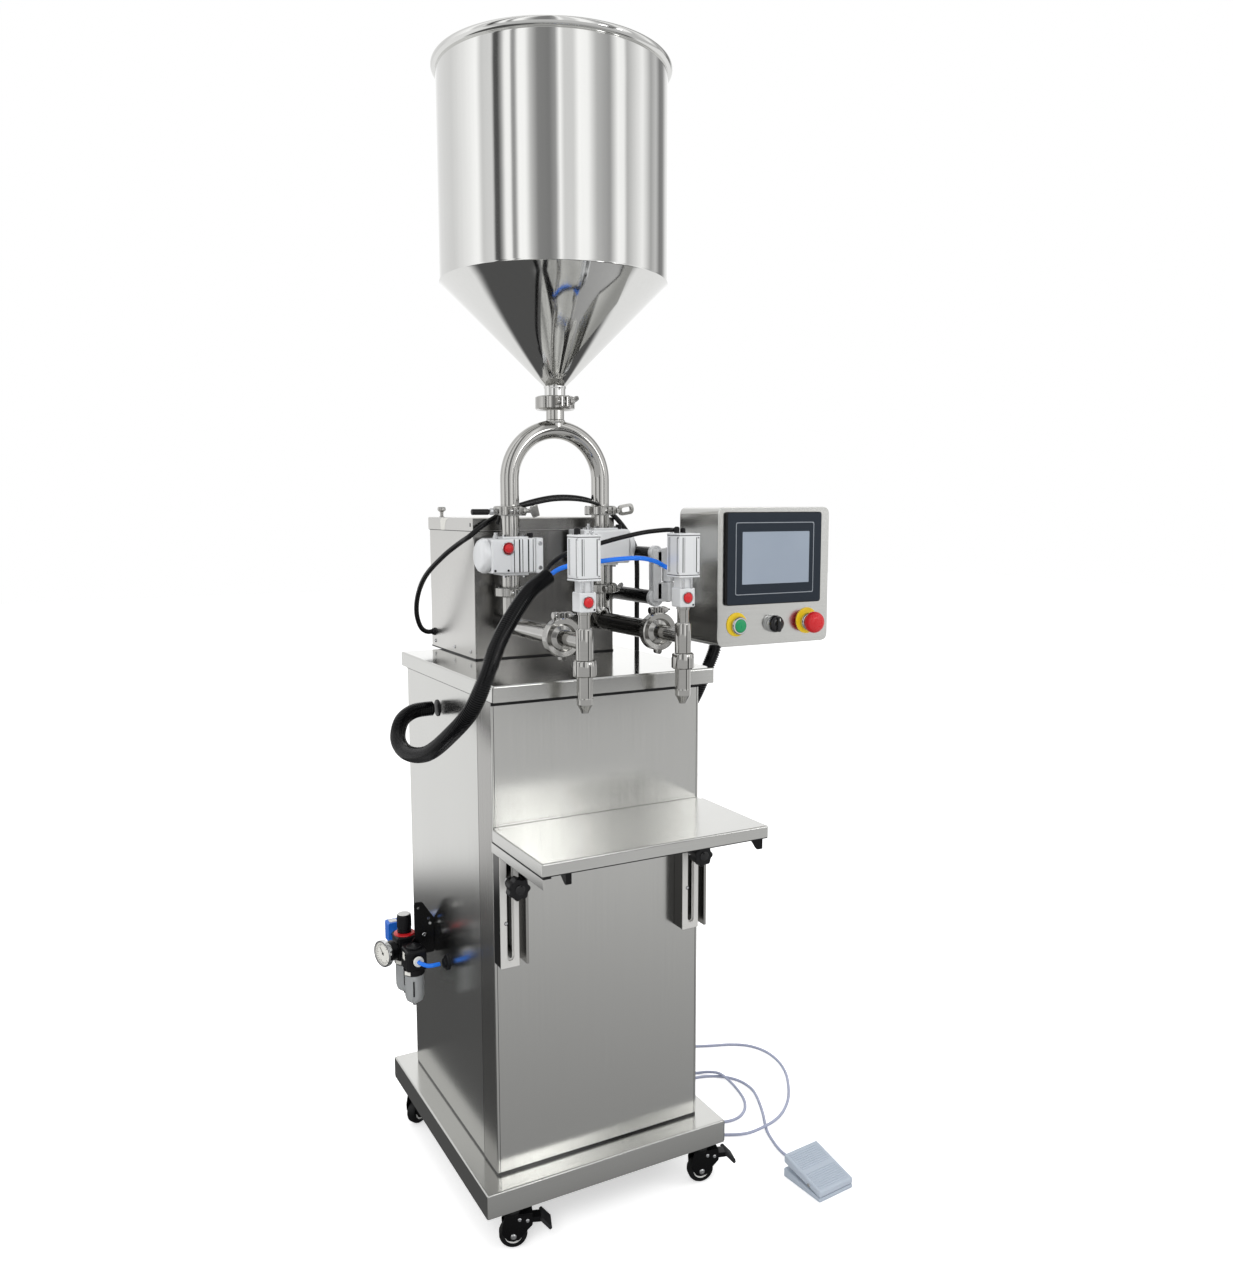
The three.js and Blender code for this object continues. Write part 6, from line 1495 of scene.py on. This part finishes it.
def slab(y0, y1, low0, high0, low1, high1, width, edge):
    w = width / 2
    points = [(-w, y0, low0), (w, y0, low0), (w, y1, low1), (-w, y1, low1),
              (-w, y0, high0), (w, y0, high0), (w, y1, high1), (-w, y1, high1)]
    faces = [(0, 1, 2, 3), (4, 5, 6, 7), (0, 1, 5, 4), (1, 2, 6, 5), (2, 3, 7, 6), (3, 0, 4, 7)]
    return softened((points, faces), edge, 3)


def makePedal():
    px, py = pedal["place"]
    at = dict(x=px, y=py, turns=(("Z", pedal["turn"]),))
    half, width = pedal["length"] / 2, pedal["width"]
    wedge = slab(-half, half, 0, 8, 0, 18, width, 2.4)
    gland = turned([(0, half - 2), (7.4, half - 2), (7.4, half + 2), (5.5, half + 4), (5.5, half + 12),
                    (0, half + 12)], 32)
    parts = [(wedge, "paleBlueAbs"), (placed(gland, 2, 0, 10, alongY), "palePvc")]
    for dx in (-36, 36):
        for dy in (-40, 40):
            parts.append((placed(rod(5, 0, 0.6, 24), dx, dy), "blackRubber"))
    piece("pedal_foot", "machine", moved(parts, **at), ["foot_pedal_base"])

    low, high = pedal["low"], pedal["high"]
    top = slab(-half, half, 8.9, low - 1, 29, high - 1, width, 3)
    parts = [(top, "paleBlueAbs")]
    rise = (high - low) / pedal["length"]
    slope = math.degrees(math.atan(rise))
    centreZ = (low + high) / 2 - 1
    # two groups of fine ribs across the foot plate, with smooth bands between
    for first, last in pedal["ribGroups"]:
        for k in range(pedal["ribs"]):
            y = first + (last - first) * k / (pedal["ribs"] - 1)
            rib = bar(-width / 2 + 7, width / 2 - 7, -1.3, 1.3, -0.6, 1, 0.5, 2)
            parts.append((placed(rib, 0, y, centreZ + y * rise, (("X", slope),)), "paleBlueAbs"))
    for side in (-1, 1):
        screw = placed(screwHead(3.6, 1.6), side * width / 2, -20, 20, (("Y", 90 * side),))
        parts.append((screw, "chrome"))
    piece("pedal_plate", "treadle", moved(parts, **at), ["foot_treadle"])


makePedal()


# Second cable of the arch: from behind the left clamp over to the right leg
archCable = {"radius": 3, "points": [
    (-96, 2, 1262), (-93, -4, 1278), (-80, -26, 1290), (-52, -44, 1298), (-10, -52, 1306.5), (30, -52, 1308),
    (70, -44, 1304.5), (104, -28, 1297), (126, -8, 1287), (134, 8, 1274), (136, 20, 1256)]}


def makeArchCable():
    path = route(archCable["points"], 90)
    shape = swept(path, archCable["radius"], 16)
    thing = piece("arch_cable_line", "machine", [(shape, "blackSheath")], (), 60)


makeArchCable()
print("pedal and arch cable")


# The pistons, their barrels and the needles are drawn as the CAD has them.
for node in ("metering_barrels", "metering_pistons", "left_nozzle_needle", "right_nozzle_needle"):
    data = bpy.data.objects[node].data
    data.materials.clear()
    data.materials.append(materials["turnedSteel"])


# Studio: pale floor and white surround, softboxes, and screens that only reflections see.
# A screen hangs in a plane that faces the machine; its stops give its brightness from left to right.
studio = {
    "floor": ("#f4f4f4", "#f7f7f7"), "floorReach": 15, "floorLift": 0.5,
    "worldLevel": 0.72,
    "lamps": [
        {"place": (-2600, -3000, 3400), "size": 2.2, "watts": 62},
        {"place": (3200, -1600, 3000), "size": 2.0, "watts": 34},
        {"place": (200, 1200, 4200), "size": 3.0, "watts": 40}],
    "aim": (0, 0, 900),
    "screenY": -3000,
    "screens": {
        "housing_screen": {"x": (980, 1850), "z": (480, 1262), "stops": [(0, 0.07), (1, 0.1)]},
        "box_screen": {"x": (1950, 2900), "z": (400, 1420), "stops": [(0, 1.0), (0.5, 0.8), (1, 1.1)]},
        "shelf_screen": {"x": (800, 2350), "z": (1560, 2300),
                         "stops": [(0, 1.2), (0.1, 6.4), (0.26, 5.6), (0.36, 0.1), (0.68, 0.1), (0.8, 5.8),
                                   (0.95, 5.8), (1, 1.2)]}},
    # brightness of the surround in reflections, by the angle from the camera's side of the hopper
    "surround": [
        (-180, 1.25), (-150, 0.92), (-115, 0.85), (-92, 1.1), (-78, 1.3), (-72, 0.8),
        (-60, 0.9), (-57.5, 0.1), (-53.5, 0.1), (-50, 0.45), (-46, 1.25), (-41, 1.25), (-39, 0.34), (-36, 0.42),
        (-33, 1.3), (-26, 1.3), (-21, 0.7), (-14, 0.3), (-3, 0.26), (3, 0.42), (7, 1.3), (11, 0.85), (20, 0.85),
        (25, 1.3), (34, 1.25), (43, 0.62), (57, 0.42), (66, 1.25), (73, 1.2), (77, 0.6), (98, 1.2), (112, 0.5)],
    # the same near the horizon behind the machine
    "surroundBack": [(112, 0.5), (122, 0.7), (131, 0.26), (139, 0.3), (150, 0.9), (180, 1.25)],
    "surroundLevel": 1.35,
    # the floor in reflections: dark near the machine at its sides and back, mid grey in front
    "floorNear": 0.1, "floorFar": 1.0, "floorFront": (0.38, 0.66), "floorEdge": (1.55, 2.05),
    "frontReach": (0.5, 2.2), "frontLine": (-0.45, -0.2),
}


def rampStops(ramp, stops, level):
    while len(ramp.elements) > 1:
        ramp.elements.remove(ramp.elements[-1])
    for index, (place, value) in enumerate(stops):
        element = ramp.elements[0] if index == 0 else ramp.elements.new(place)
        element.position = place
        element.color = (value / level, value / level, value / level, 1)


def makeSheet(name, corners, material):
    data = bpy.data.meshes.new(name)
    data.from_pydata(corners, [], [(0, 1, 2, 3)])
    data.materials.append(material)
    thing = bpy.data.objects.new(name, data)
    scene.collection.objects.link(thing)
    return thing


def makeScreens():
    for name, screen in studio["screens"].items():
        material = bpy.data.materials.new(name.replace("_", " "))
        tree = emptyTree(material)
        place = addNode(tree, "ShaderNodeTexCoord").outputs["Generated"]
        across = addNode(tree, "ShaderNodeSeparateXYZ", {}, {"Vector": place})
        shade = addNode(tree, "ShaderNodeValToRGB", {}, {"Fac": across.outputs["X"]})
        level = max(value for _, value in screen["stops"])
        rampStops(shade.color_ramp, screen["stops"], level)
        glow = addNode(tree, "ShaderNodeEmission", {}, {"Color": shade.outputs["Color"], "Strength": level})
        addNode(tree, "ShaderNodeOutputMaterial", {}, {"Surface": glow.outputs["Emission"]})
        (x0, x1), (z0, z1), y = screen["x"], screen["z"], studio["screenY"]
        corners = [spot(x0, y, z0), spot(x1, y, z0), spot(x1, y, z1), spot(x0, y, z1)]
        thing = makeSheet(name, corners, material)
        # only reflections see it
        for ray in ("camera", "diffuse", "shadow", "transmission"):
            setattr(thing, "visible_" + ray, False)


def makeFloor():
    material = bpy.data.materials.new("pale studio floor")
    tree = emptyTree(material)
    place = addNode(tree, "ShaderNodeTexCoord").outputs["Object"]
    rays = addNode(tree, "ShaderNodeLightPath")
    noise = addNode(tree, "ShaderNodeTexNoise", {}, {"Vector": place, "Scale": 0.4, "Detail": 3})
    colour = addNode(tree, "ShaderNodeMix", {"data_type": "RGBA"}, {
        0: noise.outputs["Fac"], 6: hexColour(studio["floor"][0]), 7: hexColour(studio["floor"][1])})
    matt = addNode(tree, "ShaderNodeBsdfDiffuse", {}, {"Color": colour.outputs[2]})
    # lifted to white for the camera, so that only the shadow near the machine shows
    lift = addNode(tree, "ShaderNodeEmission", {}, {"Color": (1, 1, 1, 1), "Strength": studio["floorLift"]})
    seen = addNode(tree, "ShaderNodeAddShader", {}, {0: matt.outputs["BSDF"], 1: lift.outputs["Emission"]})
    # what steel shows of it, by the distance from the machine in metres
    offset = addNode(tree, "ShaderNodeVectorMath", {"operation": "SUBTRACT"}, {
        0: place, 1: tuple(spot(0, 0, 0))})
    distance = addNode(tree, "ShaderNodeVectorMath", {"operation": "LENGTH"}, {0: offset.outputs["Vector"]})
    parts = addNode(tree, "ShaderNodeSeparateXYZ", {}, {"Vector": offset.outputs["Vector"]})
    edge, reach, lineY = studio["floorEdge"], studio["frontReach"], studio["frontLine"]
    around = addNode(tree, "ShaderNodeMapRange", {"interpolation_type": "SMOOTHSTEP"}, {
        "Value": distance.outputs["Value"], "From Min": edge[0], "From Max": edge[1],
        "To Min": studio["floorNear"], "To Max": studio["floorFar"]})
    ahead = addNode(tree, "ShaderNodeMapRange", {}, {
        "Value": distance.outputs["Value"], "From Min": reach[0], "From Max": reach[1],
        "To Min": studio["floorFront"][0], "To Max": studio["floorFront"][1]})
    front = addNode(tree, "ShaderNodeMapRange", {"interpolation_type": "SMOOTHSTEP"}, {
        "Value": parts.outputs["Y"], "From Min": lineY[0], "From Max": lineY[1], "To Min": 1, "To Max": 0})
    mixed = addNode(tree, "ShaderNodeMix", {"data_type": "FLOAT"}, {
        0: front.outputs["Result"], 2: around.outputs["Result"], 3: ahead.outputs["Result"]})
    mirrored = addNode(tree, "ShaderNodeEmission", {}, {"Color": (1, 1, 1, 1), "Strength": mixed.outputs[0]})
    first = addNode(tree, "ShaderNodeMixShader", {}, {
        0: rays.outputs["Is Camera Ray"], 1: matt.outputs["BSDF"], 2: seen.outputs["Shader"]})
    second = addNode(tree, "ShaderNodeMixShader", {}, {
        0: rays.outputs["Is Glossy Ray"], 1: first.outputs["Shader"], 2: mirrored.outputs["Emission"]})
    addNode(tree, "ShaderNodeOutputMaterial", {}, {"Surface": second.outputs["Shader"]})
    side = studio["floorReach"]
    corners = [(-side, -side, 0), (side, -side, 0), (side, side, 0), (-side, side, 0)]
    makeSheet("floor", corners, material)


def makeLamps():
    for index, lamp in enumerate(studio["lamps"]):
        data = bpy.data.lights.new("softbox " + str(index), "AREA")
        data.shape = "SQUARE"
        data.size = lamp["size"]
        data.energy = lamp["watts"]
        thing = bpy.data.objects.new("softbox_" + str(index), data)
        thing.location = spot(*lamp["place"])
        aim = spot(*studio["aim"]) - thing.location
        thing.rotation_euler = aim.to_track_quat("-Z", "Y").to_euler()
        thing.visible_glossy = False
        scene.collection.objects.link(thing)


def makeWorld():
    world = bpy.data.worlds.new("studio surround")
    scene.world = world
    tree = emptyTree(world)
    rays = addNode(tree, "ShaderNodeLightPath")
    towards = addNode(tree, "ShaderNodeTexCoord").outputs["Generated"]
    # angle from the camera's side, as a share of a full turn: 0.5 faces the camera
    toCamera = Vector(view["place"]) - Vector((hopper["x"], hopper["y"], 0))
    facing = math.atan2(toCamera.y, toCamera.x)
    rotated = addNode(tree, "ShaderNodeVectorRotate", {"rotation_type": "Z_AXIS"}, {
        "Vector": towards, "Angle": -facing})
    sides = addNode(tree, "ShaderNodeSeparateXYZ", {}, {"Vector": rotated.outputs["Vector"]})
    angle = addNode(tree, "ShaderNodeMath", {"operation": "ARCTAN2"}, {
        0: sides.outputs["Y"], 1: sides.outputs["X"]})
    share = addNode(tree, "ShaderNodeMath", {"operation": "MULTIPLY_ADD"}, {
        0: angle.outputs[0], 1: 1 / (2 * math.pi), 2: 0.5})
    level = studio["surroundLevel"]
    shades = []
    for stops in (studio["surround"], studio["surroundBack"]):
        shade = addNode(tree, "ShaderNodeValToRGB", {}, {"Fac": share.outputs[0]})
        rampStops(shade.color_ramp, [(0.5 + degrees / 360, value) for degrees, value in stops], level)
        shades.append(shade)
    border = addNode(tree, "ShaderNodeMath", {"operation": "GREATER_THAN"}, {
        0: share.outputs[0], 1: 0.5 + studio["surroundBack"][0][0] / 360})
    ring = addNode(tree, "ShaderNodeMix", {"data_type": "RGBA"}, {
        0: border.outputs[0], 6: shades[0].outputs["Color"], 7: shades[1].outputs["Color"]})
    mirrored = addNode(tree, "ShaderNodeBackground", {}, {"Color": ring.outputs[2], "Strength": level})
    plain = addNode(tree, "ShaderNodeBackground", {}, {"Color": (1, 1, 1, 1), "Strength": studio["worldLevel"]})
    white = addNode(tree, "ShaderNodeBackground", {}, {"Color": (1, 1, 1, 1), "Strength": 1})
    seen = addNode(tree, "ShaderNodeMath", {"operation": "MAXIMUM"}, {
        0: rays.outputs["Is Camera Ray"], 1: rays.outputs["Is Transmission Ray"]})
    first = addNode(tree, "ShaderNodeMixShader", {}, {
        0: seen.outputs[0], 1: plain.outputs["Background"], 2: white.outputs["Background"]})
    second = addNode(tree, "ShaderNodeMixShader", {}, {
        0: rays.outputs["Is Glossy Ray"], 1: first.outputs["Shader"], 2: mirrored.outputs["Background"]})
    addNode(tree, "ShaderNodeOutputWorld", {}, {"Surface": second.outputs["Shader"]})


makeFloor()
makeScreens()
makeLamps()
makeWorld()
scene.view_settings.view_transform = "Standard"
print("studio")
